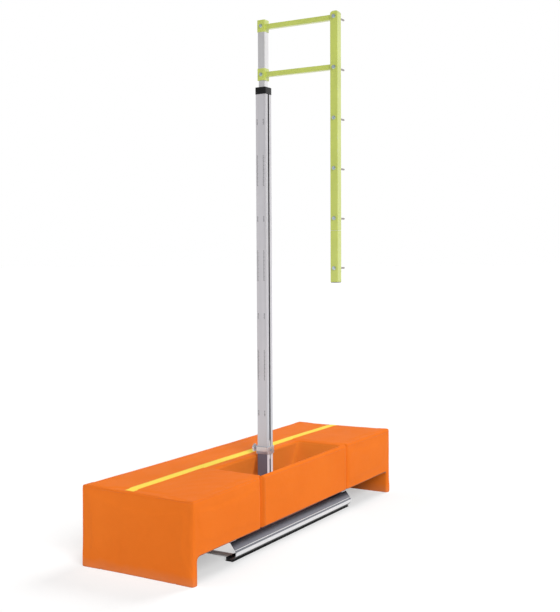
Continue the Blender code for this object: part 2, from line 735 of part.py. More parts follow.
def make_mast(parent):
    mast_top = HEAD_POST_TOP - PLUG_DEPTH - GAP
    mast = square_tube(MAST, MAST_WALL, MAST_CORNER, MAST_FOOT, mast_top)
    mast = cut(mast, [*sleeve_bolt_holes(), link_bolt_hole()])
    piece("inner_mast", mast, "aluminium", parent)
    piece("guide_shoe", guide_shoe(), "nylon", parent)
    piece("lock_collar", lock_collar(), "aluminium", parent)
    link_bolt = bolt(LINK_BOLT, COLLAR / 2 + GAP - MAST / 4)
    link_place = (COLLAR / 2 + GAP, 0, COLLAR_Z)
    piece("collar_link_bolt", link_bolt, "bolt_steel", parent, link_place, (0, math.radians(90), 0), smooth=True)

    post_wall = (HEAD_POST - MAST) / 2 - SLIDING_GAP
    post = square_tube(HEAD_POST, post_wall, HEAD_POST_CORNER, HEAD_POST_LOW, HEAD_POST_TOP)
    piece("head_post", cut(post, sleeve_bolt_holes()), "aluminium", parent)
    post_bore = MAST + 2 * SLIDING_GAP - 2 * GAP
    piece("head_post_plug", end_plug(HEAD_POST, post_bore, PLUG_DEPTH, HEAD_POST_TOP, 1), "black_plastic", parent)

    sleeve_wall = (SLEEVE - HEAD_POST) / 2 - GAP
    sleeve_bolt = bolt(SLEEVE_BOLT, SLEEVE + 2 * GAP, SLEEVE + 2 * GAP, BOLT_TAIL)
    for name, z, arm_z in (("upper", UPPER_SLEEVE_Z, UPPER_ARM_Z), ("lower", LOWER_SLEEVE_Z, LOWER_ARM_Z)):
        sleeve = square_tube(SLEEVE, sleeve_wall, SLEEVE_CORNER, z - SLEEVE_HEIGHT / 2, z + SLEEVE_HEIGHT / 2)
        piece(f"{name}_sleeve", cut(sleeve, sleeve_bolt_holes()), "yellow_paint", parent)
        place = (0, -SLEEVE / 2 - GAP, z)
        piece(f"{name}_sleeve_bolt", sleeve_bolt, "bolt_steel", parent, place, (math.radians(90), 0, 0), smooth=True)
        arm_ends = (SLEEVE / 2 + GAP, BAR_REACH - BAR / 2 - GAP)
        arm = square_tube(ARM, ARM_WALL, ARM_CORNER, *arm_ends, "X", (0, arm_z))
        piece(f"{name}_arm", arm, "yellow_paint", parent)

    heights = [TOP_PEG_Z - PEG_PITCH * i for i in range(UPPER_PEGS)]
    bar = square_tube(BAR, BAR_WALL, BAR_CORNER, BAR_JOINT + BAR_JOINT_GAP / 2, BAR_TOP)
    bar_axis = body("peg_bar", (BAR_REACH, 0, 0), parent)
    piece("peg_bar_upper", cut(bar, peg_holes(heights)), "yellow_paint", bar_axis)
    cap = domed_cap(BAR, BAR - 2 * BAR_WALL - 2 * GAP, BAR_CAP_DEPTH, BAR_CAP_RISE, BAR_TOP)
    piece("bar_top_cap", cap, "yellow_paint", bar_axis)
    add_pegs(1, heights, bar_axis)


def star_knob():
    """A lobed grip on a hub, with a blind bore for the screw; its seat is at z = 0 and it stands up along Z."""
    sides = KNOB_LOBES * 10
    mean = KNOB_RADIUS - KNOB_LOBE_DEPTH / 2
    outline = []
    for i in range(sides):
        turn = math.tau * i / sides
        radius = mean + KNOB_LOBE_DEPTH / 2 * math.cos(KNOB_LOBES * turn)
        outline.append((radius * math.cos(turn), radius * math.sin(turn)))
    top = KNOB_OUTER - KNOB_INNER
    grip = prism(outline, KNOB_HUB, top)
    bm = bmesh.new()
    bm.from_mesh(grip)
    rims = [e for e in bm.edges if abs(e.verts[0].co.z - e.verts[1].co.z) < GAP]
    bmesh.ops.bevel(bm, geom=rims, offset=KNOB_CHAMFER, segments=1, profile=0.5, affect="EDGES", material=-1)
    grip = mesh_of(bm, "grip")
    hub = prism(circle(KNOB_HUB_RADIUS, 20), 0, KNOB_HUB + KNOB_CHAMFER)
    bore = prism(circle(SCREW_RADIUS + GAP, 16), -KNOB_HUB, top - KNOB_HUB)
    return cut(fused(grip, [hub]), [bore])


def make_clamp(screw_body, knob_body):
    tip = UPRIGHT / 2 + GAP - KNOB_INNER
    depth = KNOB_OUTER - KNOB_INNER - KNOB_HUB - GAP
    point = 0.0015
    profile = [
        (0, tip),
        (SCREW_RADIUS - point, tip),
        (SCREW_RADIUS, tip + point),
        (SCREW_RADIUS, depth),
        (0, depth),
    ]
    outwards = (0, math.radians(-90), 0)
    piece("clamp_screw", turned(profile), "bolt_steel", screw_body, rotation=outwards, smooth=True)
    piece("star_knob", star_knob(), "aluminium", knob_body, rotation=outwards, smooth=True)


def make_lower_bar(parent):
    """The lower length of the peg bar, drawn down from the joint line, on a spigot that enters the upper length."""
    peg_z = TOP_PEG_Z - PEG_PITCH * UPPER_PEGS - BAR_JOINT
    bottom = BAR_BOTTOM - BAR_JOINT
    bar = square_tube(BAR, BAR_WALL, BAR_CORNER, bottom, -BAR_JOINT_GAP / 2)
    piece("peg_bar_lower", cut(bar, peg_holes([peg_z])), "yellow_paint", parent)
    width = BAR - 2 * BAR_WALL - 2 * GAP
    spigot = square_tube(width, BAR_SPIGOT_WALL, BAR_SPIGOT_CORNER, -BAR_SPIGOT_DOWN, BAR_SPIGOT_UP)
    piece("bar_spigot", spigot, "aluminium", parent)
    plug = end_plug(BOTTOM_PLUG, width, PLUG_DEPTH, bottom, -1)
    piece("bar_bottom_plug", plug, "black_plastic", parent)
    add_pegs(UPPER_PEGS + 1, [peg_z], parent)


def bow(value, low, high):
    """1 in the middle of a stretch and 0 at its ends."""
    across = (2 * value - low - high) / (high - low)
    return max(0.0, 1 - across * across)


def stations(low, high, extra=()):
    """Cuts no more than a cell apart, one close to each end for the rounded edges, and the extra ones asked for."""
    marks = sorted({low + PAD_EDGE, high - PAD_EDGE, *extra})
    cuts = [marks[0]]
    for mark in marks[1:]:
        steps = math.ceil((mark - cuts[-1]) / PAD_CELL)
        start = cuts[-1]
        cuts += [start + (mark - start) * (i + 1) / steps for i in range(steps)]
    return cuts


def cushioned(mesh, lengthwise, across=()):
    """Foam under a sewn cover: a crowned top, sides that draw in between the corners, leaning ends, rounded edges.

    The mesh is cut into cells first, at the stations given along Y and X.
    """
    bm = bmesh.new()
    bm.from_mesh(mesh)
    heights = (PAD_UNDERSIDE / 2, PAD_UNDERSIDE, (PAD_UNDERSIDE + PAD_HEIGHT) / 2, PAD_HEIGHT - PAD_EDGE)
    cuts = [((x, 0, 0), (1, 0, 0)) for x in across]
    cuts += [((0, y, 0), (0, 1, 0)) for y in lengthwise]
    cuts += [((0, 0, z), (0, 0, 1)) for z in heights]
    for place, way in cuts:
        whole = bm.verts[:] + bm.edges[:] + bm.faces[:]
        bmesh.ops.bisect_plane(bm, geom=whole, dist=1e-5, plane_co=place, plane_no=way)

    reach = 1e-5
    for vert in bm.verts:
        x, y, z = vert.co
        side = 1 if x > PAD_FRONT - reach else -1 if x < PAD_BACK + reach else 0
        end = 1 if y > PAD_HALF_LENGTH - reach else -1 if y < -PAD_HALF_LENGTH + reach else 0
        top = z > PAD_HEIGHT - reach
        long_bow = bow(y, -PAD_HALF_LENGTH, PAD_HALF_LENGTH)
        wide_bow = bow(x, PAD_BACK, PAD_FRONT)
        high_bow = bow(z, 0, PAD_HEIGHT)
        rounding = PAD_EDGE * (1 - math.sqrt(0.5))
        if top:
            vert.co.z -= PAD_CROWN * (1 - long_bow * wide_bow)
        if side:
            vert.co.x -= side * (PAD_DRAW_IN * long_bow - PAD_SWELL * high_bow * long_bow)
        if end:
            vert.co.y -= end * (PAD_DRAW_IN * wide_bow - PAD_SWELL * high_bow * wide_bow + PAD_LEAN * z / PAD_HEIGHT)
        if side and (top or end):
            vert.co.x -= side * rounding
        if end and (top or side):
            vert.co.y -= end * rounding
        if top and (side or end):
            vert.co.z -= rounding
    return mesh_of(bm, "cushion")


def pad_stations():
    lengthwise = stations(
        -PAD_HALF_LENGTH,
        PAD_HALF_LENGTH,
        (-NOTCH_HALF_LENGTH, NOTCH_HALF_LENGTH, FLAP_FROM, FLAP_TO, 0),
    )
    across = stations(PAD_BACK, PAD_FRONT, (PAD_BACK + PAD_WALL, NOTCH_BACK, PAD_FRONT - FLAP_RECESS))
    return lengthwise, across


def pad_body():
    """A foam block with an end wall at each end and one along its outer side, hollow below for the base."""
    block = box((PAD_BACK, -PAD_HALF_LENGTH, 0), (PAD_FRONT, PAD_HALF_LENGTH, PAD_HEIGHT))
    inner_half = PAD_HALF_LENGTH - PAD_WALL
    over = 0.1
    hollow = box((PAD_BACK + PAD_WALL, -inner_half, -over), (PAD_FRONT + over, inner_half, PAD_UNDERSIDE))
    slope = NOTCH_UNDERCUT / (PAD_HEIGHT - PAD_UNDERSIDE)
    notch_section = [
        (NOTCH_BACK + over * slope, PAD_HEIGHT + over),
        (NOTCH_BACK - NOTCH_UNDERCUT - over / 4 * slope, PAD_UNDERSIDE - over / 4),
        (PAD_FRONT + over, PAD_UNDERSIDE - over / 4),
        (PAD_FRONT + over, PAD_HEIGHT + over),
    ]
    notch = prism(notch_section, -NOTCH_HALF_LENGTH, NOTCH_HALF_LENGTH, "Y")
    recess = box((PAD_FRONT - FLAP_RECESS, FLAP_FROM, PAD_UNDERSIDE / 2), (PAD_FRONT + over, FLAP_TO, PAD_HEIGHT + over))
    for space in (hollow, notch, recess):
        block = cut(block, [space])
    return cushioned(block, *pad_stations())


def stripe():
    """The tape along the top, laid on the crown."""
    low, high = STRIPE_CENTRE - STRIPE_WIDTH / 2, STRIPE_CENTRE + STRIPE_WIDTH / 2
    end = PAD_HALF_LENGTH - PAD_EDGE
    tape = box((low, -end, PAD_HEIGHT + GAP), (high, end, PAD_HEIGHT + GAP + TAPE_THICK))
    return cushioned(tape, pad_stations()[0])


def pad_flap():
    """The panel that closes the notch's pit side, let into the block's face."""
    low = (PAD_FRONT - FLAP_THICK, FLAP_FROM + FLAP_GAP, PAD_UNDERSIDE)
    high = (PAD_FRONT, FLAP_TO - FLAP_GAP, PAD_HEIGHT)
    return cushioned(box(low, high), pad_stations()[0], (PAD_FRONT - FLAP_THICK / 2,))


def make_pad(pad, flap):
    piece("pad_body", pad_body(), "orange_cover", pad, smooth=True)
    piece("pad_stripe", stripe(), "yellow_tape", pad, smooth=True)
    floor = PAD_FRONT - FLAP_RECESS + GAP
    near = (FLAP_FROM - NOTCH_HALF_LENGTH - HOOK_WIDTH) / 2
    hook = box((floor, near, HOOK_LOW), (floor + TAPE_THICK, near + HOOK_WIDTH, HOOK_TOP))
    piece("hook_strip", hook, "hook_and_loop", pad)
    hinge = (-PAD_FRONT, -FLAP_TO, 0)
    piece("pad_flap", pad_flap(), "orange_cover", flap, hinge, smooth=True)
    back = PAD_FRONT - FLAP_THICK - GAP
    loop = box((back - TAPE_THICK, near, HOOK_LOW), (back, near + HOOK_WIDTH, HOOK_TOP))
    piece("loop_strip", loop, "hook_and_loop", flap, hinge)


def main():
    clear_scene()
    base = body("base", (MAST_X, MAST_Y, 0))
    make_base(base)
    carriage = body("carriage", (0, 0, 0), base)
    make_carriage(carriage)
    mast = body("mast", (0, 0, 0), carriage)
    make_mast(mast)
    screw = body("clamp_screw_axis", (-KNOB_INNER, 0, CLAMP_Z), mast)
    knob = body("star_knob_axis", (0, 0, 0), screw)
    make_clamp(screw, knob)
    lower_bar = body("lower_bar", (BAR_REACH, 0, BAR_JOINT), mast)
    make_lower_bar(lower_bar)
    pad = body("pad", (0, 0, 0))
    flap = body("flap_hinge", (PAD_FRONT, FLAP_TO, 0), pad)
    make_pad(pad, flap)
    bpy.context.view_layer.update()


main()
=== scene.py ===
"""Finishes, soft parts and studio for the pole vault standard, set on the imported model's frame.

Metres, +Z up. X runs along the crossbar towards the landing pit, Y along the runway, and the origin is
on the ground below the middle of the object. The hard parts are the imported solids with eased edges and
their finishes. The pad, its flap and its tapes are new soft pieces in the places of theirs.
"""

import math

import bmesh
import bpy
from mathutils import Matrix, Vector, noise
from mathutils.bvhtree import BVHTree


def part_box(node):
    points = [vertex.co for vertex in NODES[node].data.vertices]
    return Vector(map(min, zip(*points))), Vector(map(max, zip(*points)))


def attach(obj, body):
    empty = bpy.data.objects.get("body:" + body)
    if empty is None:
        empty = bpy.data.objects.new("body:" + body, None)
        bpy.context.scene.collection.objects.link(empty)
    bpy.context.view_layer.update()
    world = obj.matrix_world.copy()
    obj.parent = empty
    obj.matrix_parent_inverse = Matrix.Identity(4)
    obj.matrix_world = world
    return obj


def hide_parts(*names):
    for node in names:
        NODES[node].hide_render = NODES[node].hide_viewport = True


# Camera, from the photograph's perspective; the picture is 560 x 612
PICTURE_HEIGHT = 612
FOCAL_PIXELS = 998.22
CAMERA_PLACE = (3.2921, -5.4679, 1.7318)
CAMERA_YAW = 0.53258
CAMERA_PITCH = -0.04829
CAMERA_ROLL = -0.00451

# The mast's axis and the sizes of what the soft parts and the print sit on
MAST_X = -0.042
MAST_Y = -0.007
UPRIGHT = 0.074
PAD_BACK = -0.499
PAD_FRONT = 0.269
PAD_HALF_LENGTH = 1.252
PAD_HEIGHT = 0.463
PAD_UNDERSIDE = 0.152
PAD_WALL = 0.048
NOTCH_BACK = -0.089
NOTCH_HALF_LENGTH = 0.515
FLAP_FROM = -0.551
FLAP_TO = 0.556
FLAP_THICK = 0.027
STRIPE_CENTRE = -0.182
STRIPE_WIDTH = 0.058
STRIPE_NEAR = -1.213
STRIPE_FAR = 1.231
STRIPE_THICK = 0.0016

# Cover: the cells of its form, how far it swells and how its cloth is set, between which distances from
# the notch that sets in, its slow hollows (how close they lie, then depth and seed), its twist, its seams
PAD_VOXEL = 0.012
FLAP_VOXEL = 0.0075
PAD_SWELL = 0.0035
FLAP_SWELL = 0.003
SWELL_FRAMES = 16
CLOTH_SETTINGS = {"quality": 4, "mass": 0.4, "use_pressure": True, "uniform_pressure_force": 4}
CLOTH_STIFFNESS = {"tension": 40, "compression": 40, "shear": 20, "bending": 2}
STILL_BESIDE_NOTCH = (0.05, 0.13)
HELD_FROM_GROUND = 0.08
LONG_HOLLOWS = 2.6
SHORT_HOLLOWS = 7.0
SHORT_SHARE = 0.45
PAD_HOLLOWS = (0.0016, 3.1)
FLAP_HOLLOWS = (0.0007, 8.4)
PAD_TWIST = 0.008
FLAP_SEAM = 0.026
FLAP_SEAM_DEPTH = 0.014
FLAP_SEAM_OPEN = 0.0035
# Painted shade in the valleys at the flap's two ends: the middle of each, how far it spreads, how dark
PAINTED_SEAM_SHADE = ((FLAP_FROM + 0.015, 0.028, 0.55), (FLAP_TO, 0.018, 0.4))
FADE = 0.012
WELT_RADIUS = 0.0022
STITCH_PITCH = 0.009
STITCH_LENGTH = 0.0058
STITCH_RADIUS = 0.0008
STITCH_INSET = 0.011
STITCH_GAP = 0.02
WELT_GAP = 0.004
SEAM_IN = 0.002
SEAM_DOWN = 0.006

# Eased edges of the hard parts: how far, and from which angle between two faces on
EASED_CAST = 0.0010
EASED_SHEET = 0.0005
EDGE_ANGLE = math.radians(35)
PLAIN_ANGLE = math.radians(0.5)

# Small things that the hard parts carry. A weld's drops and hollows are in shares of its radius.
WELD_RADIUS = 0.0026
WELD_DROP = 0.7
WELD_HOLLOW = 0.84
RIVET_RADIUS = 0.0055
RIVET_HEIGHT = 0.0024
RIVET_FROM_END = 0.016
RIVET_FROM_SIDE = 0.014

# Print on the upright's front face: the heights of its numbers and of the middles of its rulers
NUMBERS_Z = ((2.591, "5.50 5.40"), (1.978, "4.60 4.50"), (1.360, "3.70 3.60"), (0.736, "2.80 2.70"))
RULERS_Z = (2.285, 1.683, 1.046)
PRINT_COLUMNS = (-0.024, 0.021)
PRINT_SIZE = 0.0095
PRINT_DEPTH = 0.00006
RULER_LENGTH = 0.190
RULER_STEP = 0.005
TICK = 0.0021
SHORT_TICK = 0.62
READ_UPWARDS = Matrix.Rotation(math.radians(-90), 4, "Y") @ Matrix.Rotation(math.radians(90), 4, "X")

# The rolled bead along each rail's slope, measured in from the rail's side and up from the ground
RAIL_BEAD_IN = 0.0107
RAIL_BEAD_Z = 0.0671
RAIL_BEAD_HALF = 0.0030
RAIL_BEAD_HEIGHT = 0.0020
RAIL_BEAD_SUNK = 0.0006
RAIL_SLOPE = (0.617, 0, -0.787)
ARCH_ANGLES = [math.pi * step / 8 for step in range(9)]

# Colours that several finishes share
YELLOW = (0.55, 0.63, 0.085)
RUBBED_YELLOW = (0.72, 0.80, 0.35)
RUBBED_BLACK = (0.20, 0.20, 0.20)
BARE_METAL = (0.70, 0.71, 0.72, 1)
DUST_ON_METAL = (0.46, 0.43, 0.39, 1)
DUST_ON_PLASTIC = (0.40, 0.37, 0.33, 1)
DUST_ON_CLOTH = (0.42, 0.33, 0.26, 1)

# Painted light on the rails, the upright and the collar: the field of each, {axis: (from, to, how soft
# its ends are)}, its colour, and how metallic it is. BELOW lies below or before everything, ABOVE over
# the rails.
# On the rails it is painted shade and reflection: a dark slope, darkest near the pad, a grey painted
# shade below the bead, and a dark foot in place of the shadowed ground that it would mirror.
BELOW = -1
ABOVE = 0.2
CRISP = 0.0006
RAIL_PAINTED_SHADE = (
    ({"Z": (RAIL_BEAD_Z + 0.0025, ABOVE, CRISP)}, (0.23, 0.23, 0.27), 0.45),
    ({"Z": (0.090, ABOVE, 0.018)}, (0.030, 0.026, 0.038), 0.45),
    ({"Z": (0.0560, RAIL_BEAD_Z - 0.0025, CRISP)}, (0.20, 0.205, 0.235), 0.45),
    ({"Z": (BELOW, 0.0325, CRISP)}, (0.05, 0.05, 0.055), 0.6),
)
COLLAR_LOW = 0.4715
UPRIGHT_FOOT = (BELOW, COLLAR_LOW + 0.020, 0.020)
UPRIGHT_FRONT = (BELOW, MAST_Y - 0.034, CRISP)
UPRIGHT_INSIDE_X = (MAST_X - 0.0335, MAST_X + 0.0362, CRISP)
UPRIGHT_INSIDE_Y = (MAST_Y - 0.0335, MAST_Y + 0.0335, CRISP)
# On the upright, painted light: painted shade a little darker and cooler towards the bottom, a pale
# painted highlight over the rest of the foot, painted shade on the foot's front, and painted shade inside
# the tube and in its slot.
UPRIGHT_PAINTED_LIGHT = (
    ({"Z": (BELOW, 0.80, 0.20)}, (0.62, 0.645, 0.69), 0.55),
    ({"Z": UPRIGHT_FOOT}, (0.92, 0.92, 1.0), 0.2),
    ({"Z": UPRIGHT_FOOT, "Y": UPRIGHT_FRONT}, (0.19, 0.185, 0.245), 0.5),
    ({"X": UPRIGHT_INSIDE_X, "Y": UPRIGHT_INSIDE_Y}, (0.10, 0.10, 0.10), 0.5),
)
# Painted shade over the collar's lower front.
COLLAR_SHADE_Z = (BELOW, COLLAR_LOW + 0.019, 0.004)
COLLAR_SHADE_Y = (BELOW, MAST_Y - 0.042, 0.004)
COLLAR_SHADE = (0.26, 0.25, 0.30, 1)

# Light: how bright the room is, also on its darker and its brighter side and overhead, and its lamps
ROOM_LIGHT = 0.32
ROOM_BRIGHT_SIDE = (0.42, 0.88, 0)
ROOM_LOW = 0.52
ROOM_HIGH = 1.12
ROOM_OVERHEAD = 0.55
LAMPS = (
    ("back_lamp", (0.088, 0.434, 0.457), 24, 1.35),
    ("pit_side_lamp", (0.72, -0.42, 0.55), 30, 1.85),
    ("outer_side_lamp", (-0.85, -0.30, 0.45), 60, 0.80),
)


def placed(name, data):
    """A new object."""
    made = bpy.data.objects.new(name, data)
    bpy.context.scene.collection.objects.link(made)
    return made


def mesh_from(name, bm):
    """A mesh of what a bmesh holds."""
    mesh = bpy.data.meshes.new(name)
    bm.to_mesh(mesh)
    bm.free()
    return mesh


def as_mesh(holder):
    """The mesh that an object comes to; the object itself goes."""
    graph = bpy.context.evaluated_depsgraph_get()
    mesh = bpy.data.meshes.new_from_object(holder.evaluated_get(graph))
    bpy.data.objects.remove(holder, do_unlink=True)
    return mesh


def make_camera():
    level = Vector((-math.sin(CAMERA_YAW), math.cos(CAMERA_YAW), 0))
    forward = level * math.cos(CAMERA_PITCH) + Vector((0, 0, math.sin(CAMERA_PITCH)))
    side = Vector((math.cos(CAMERA_YAW), math.sin(CAMERA_YAW), 0))
    above = side.cross(forward)
    right = side * math.cos(CAMERA_ROLL) + above * math.sin(CAMERA_ROLL)
    up = above * math.cos(CAMERA_ROLL) - side * math.sin(CAMERA_ROLL)
    data = bpy.data.cameras.new("camera")
    data.lens = FOCAL_PIXELS * data.sensor_width / PICTURE_HEIGHT
    camera = placed("camera", data)
    facing = Matrix((right, up, -forward)).transposed().to_4x4()
    camera.matrix_world = Matrix.Translation(CAMERA_PLACE) @ facing
    bpy.context.scene.camera = camera


# ---------------------------------------------------------------- finishes


def add(tree, kind, feeds=None, **settings):
    """A shader node with its settings; each of its feeds is a socket to link or a value to set."""
    node = tree.nodes.new("ShaderNode" + kind)
    for key, value in settings.items():
        setattr(node, key, value)
    for key, value in (feeds or {}).items():
        if isinstance(value, bpy.types.NodeSocket):
            tree.links.new(value, node.inputs[key])
        else:
            node.inputs[key].default_value = value
    return node


def scaled(tree, value, low, high, start=0.0, end=1.0):
    """A value's run from start to end, spread from low to high and held there outside it."""
    feeds = {"Value": value, "From Min": start, "From Max": end, "To Min": low, "To Max": high}
    return add(tree, "MapRange", feeds).outputs["Result"]


def rise(tree, value, start, end):
    """0 below start, 1 above end, and an even rise between."""
    return scaled(tree, value, 0, 1, start, end)


def maths(tree, operation, first, second=0.0):
    return add(tree, "Math", {0: first, 1: second}, operation=operation).outputs[0]


def vectors(tree, operation, first, second=(0, 0, 0)):
    return add(tree, "VectorMath", {0: first, 1: second}, operation=operation).outputs[0]


def added(tree, value, more, share):
    """A value with a share of another one on top."""
    return maths(tree, "ADD", value, maths(tree, "MULTIPLY", more, share))


def tint(colour, share=1.0):
    """A colour at a share of its strength, in the form that a socket holds."""
    return (*[share * c for c in colour], 1)


def blended(tree, mask, plain, other, share=None):
    """A plain colour that turns to the other where the mask says, to a share if one is given."""
    mask = maths(tree, "MULTIPLY", mask, share) if share else mask
    return add(tree, "Mix", {0: mask, 6: plain, 7: other}, data_type="RGBA").outputs[2]


def cloudy(tree, place, **settings):
    """Soft noise at a place."""
    return add(tree, "TexNoise", {"Vector": place, **settings}).outputs[0]


def effect(name, outputs, **inputs):
    """An empty effect group with a Place, its given sockets and its result sockets."""
    tree = bpy.data.node_groups.new(name, "ShaderNodeTree")
    for label, value in {"Place": (0, 0, 0), **inputs}.items():
        kind = "NodeSocketVector" if isinstance(value, tuple) else "NodeSocketFloat"
        tree.interface.new_socket(label, in_out="INPUT", socket_type=kind).default_value = value
    for label in outputs:
        tree.interface.new_socket(label, in_out="OUTPUT", socket_type="NodeSocketFloat")
    return tree, tree.nodes.new("NodeGroupInput").outputs, tree.nodes.new("NodeGroupOutput").inputs


def gives(tree, taken, **results):
    """An effect group with its results joined to their sockets."""
    for label, value in results.items():
        tree.links.new(value, taken[label])
    return tree


def use(tree, name, place, **feeds):
    """The results of a shared effect at a place."""
    return add(tree, "Group", {"Place": place, **feeds}, node_tree=EFFECTS[name]).outputs


def drawn_grain():
    """Fine lines along a part, as drawing or rolling leaves them; Spread draws them out along it."""
    tree, given, taken = effect("drawn grain", ("Lines", "Drift"), Spread=(1, 1, 1))
    stretched = vectors(tree, "MULTIPLY", given["Place"], given["Spread"])
    lines = cloudy(tree, stretched, Scale=420, Detail=3)
    return gives(tree, taken, Lines=lines, Drift=cloudy(tree, stretched, Scale=24, Detail=2))


def handling_marks():
    """Short scuffs and faint smears from use."""
    tree, given, taken = effect("handling marks", ("Scuffs", "Smears"), Amount=0.5)
    feeds = {"Vector": given["Place"], "Rotation": (0.5, 0.3, 0.9), "Scale": (9, 95, 30)}
    scratch = cloudy(tree, add(tree, "Mapping", feeds).outputs[0], Scale=2.2, Detail=4, Roughness=0.6)
    where = cloudy(tree, given["Place"], Scale=7, Detail=2)
    cut = maths(tree, "SUBTRACT", 0.78, maths(tree, "MULTIPLY", given["Amount"], 0.12))
    sharp = maths(tree, "GREATER_THAN", scratch, cut)
    scuffs = maths(tree, "MULTIPLY", sharp, rise(tree, where, 0.48, 0.6))
    smear = cloudy(tree, given["Place"], Scale=4.5, Detail=4, Distortion=0.6)
    return gives(tree, taken, Scuffs=scuffs, Smears=rise(tree, smear, 0.42, 0.72))


def ground_dust():
    """Dust that thins out upwards from the ground."""
    tree, given, taken = effect("ground dust", ("Dust",), Reach=0.1)
    height = add(tree, "SeparateXYZ", {0: given["Place"]}).outputs["Z"]
    fall = maths(tree, "SUBTRACT", 1.0, maths(tree, "DIVIDE", height, given["Reach"]))
    patches = cloudy(tree, given["Place"], Scale=14, Detail=5)
    ragged = maths(tree, "ADD", fall, scaled(tree, patches, -0.35, 0.35))
    return gives(tree, taken, Dust=rise(tree, ragged, 0.1, 0.9))


def paint_skin():
    """The faint orange peel of a powder coat, with its slow drift in gloss."""
    tree, given, taken = effect("paint skin", ("Peel", "Drift"))
    peel = cloudy(tree, given["Place"], Scale=520, Detail=1)
    return gives(tree, taken, Peel=peel, Drift=cloudy(tree, given["Place"], Scale=9, Detail=2))


def tube_corners():
    """A mask of the four long corners of a square tube that stands at Centre, broken up as wear is."""
    tree, given, taken = effect("tube corners", ("Worn",), Centre=(0, 0, 0), Half=0.025)
    offset = vectors(tree, "SUBTRACT", given["Place"], given["Centre"])
    parts = add(tree, "SeparateXYZ", {0: vectors(tree, "ABSOLUTE", offset)}).outputs
    nearer = maths(tree, "MINIMUM", parts["X"], parts["Y"])
    gap = maths(tree, "SUBTRACT", given["Half"], nearer)
    rim = scaled(tree, gap, 1, 0, 0.0008, 0.0030)
    chips = cloudy(tree, given["Place"], Scale=38, Detail=5, Roughness=0.7)
    return gives(tree, taken, Worn=maths(tree, "MULTIPLY", rim, rise(tree, chips, 0.58, 0.64)))


def coated_cloth():
    """The over-and-under ribs of a coated base cloth, and the soft creases that the cover holds."""
    tree, given, taken = effect("coated cloth", ("Ribs", "Creases", "Mottle"), Rib=0.0016)
    count = maths(tree, "DIVIDE", math.tau, given["Rib"])
    waves = vectors(tree, "MULTIPLY", given["Place"], count)
    parts = add(tree, "SeparateXYZ", {0: vectors(tree, "SINE", waves)}).outputs
    sum_xy = maths(tree, "ADD", parts["X"], parts["Y"])
    ribs = maths(tree, "ADD", sum_xy, parts["Z"])
    folds = cloudy(tree, given["Place"], Scale=6, Detail=3, Distortion=1.4)
    ridge = maths(tree, "ABSOLUTE", maths(tree, "SUBTRACT", folds, 0.5))
    mottle = cloudy(tree, given["Place"], Scale=3, Detail=4)
    return gives(tree, taken, Ribs=ribs, Creases=rise(tree, ridge, 0.0, 0.12), Mottle=mottle)


def zinc_flowers():
    """The frost-like crystals of hot-dip galvanising."""
    tree, given, taken = effect("zinc flowers", ("Flower",))
    warp = add(tree, "TexNoise", {"Vector": given["Place"], "Scale": 30, "Detail": 2})
    moved = vectors(tree, "MULTIPLY", warp.outputs["Color"], (0.02, 0.02, 0.02))
    place = vectors(tree, "ADD", given["Place"], moved)
    cells = add(tree, "TexVoronoi", {"Vector": place, "Scale": 70})
    return gives(tree, taken, Flower=add(tree, "RGBToBW", {0: cells.outputs["Color"]}).outputs[0])


EFFECTS = {
    "grain": drawn_grain(),
    "marks": handling_marks(),
    "dust": ground_dust(),
    "skin": paint_skin(),
    "corners": tube_corners(),
    "cloth": coated_cloth(),
    "zinc": zinc_flowers(),
}


def new_finish(name, **values):
    """A material, its Principled shader with constant values set, and its Object coordinates."""
    material = bpy.data.materials.new(name)
    material.use_nodes = True
    tree = material.node_tree
    shader = tree.nodes["Principled BSDF"]
    for key, value in values.items():
        shader.inputs[key.replace("_", " ")].default_value = value
    return material, tree, shader, add(tree, "TexCoord").outputs["Object"]


def coloured(tree, shader, base, roughness=None):
    """A finish's colour and roughness joined to its shader."""
    tree.links.new(base, shader.inputs["Base Color"])
    if roughness is not None:
        tree.links.new(roughness, shader.inputs["Roughness"])


def bump(tree, shader, height, distance):
    made = add(tree, "Bump", {"Height": height, "Distance": distance, "Strength": 1.0})
    tree.links.new(made.outputs[0], shader.inputs["Normal"])


def marked(tree, attribute):
    """The value of a mark that the mesh carries."""
    return add(tree, "Attribute", attribute_name=attribute).outputs["Fac"]


def field(tree, place, ranges):
    """A mask that is 1 where a place lies in the ranges, {axis: (low, high, how soft its ends are)}."""
    parts = add(tree, "SeparateXYZ", {0: place}).outputs
    mask = 1.0
    for axis, (low, high, soft) in ranges.items():
        rising = rise(tree, parts[axis], low - soft, low + soft)
        falling = scaled(tree, parts[axis], 1, 0, high - soft, high + soft)
        mask = maths(tree, "MULTIPLY", mask, maths(tree, "MULTIPLY", rising, falling))
    return mask


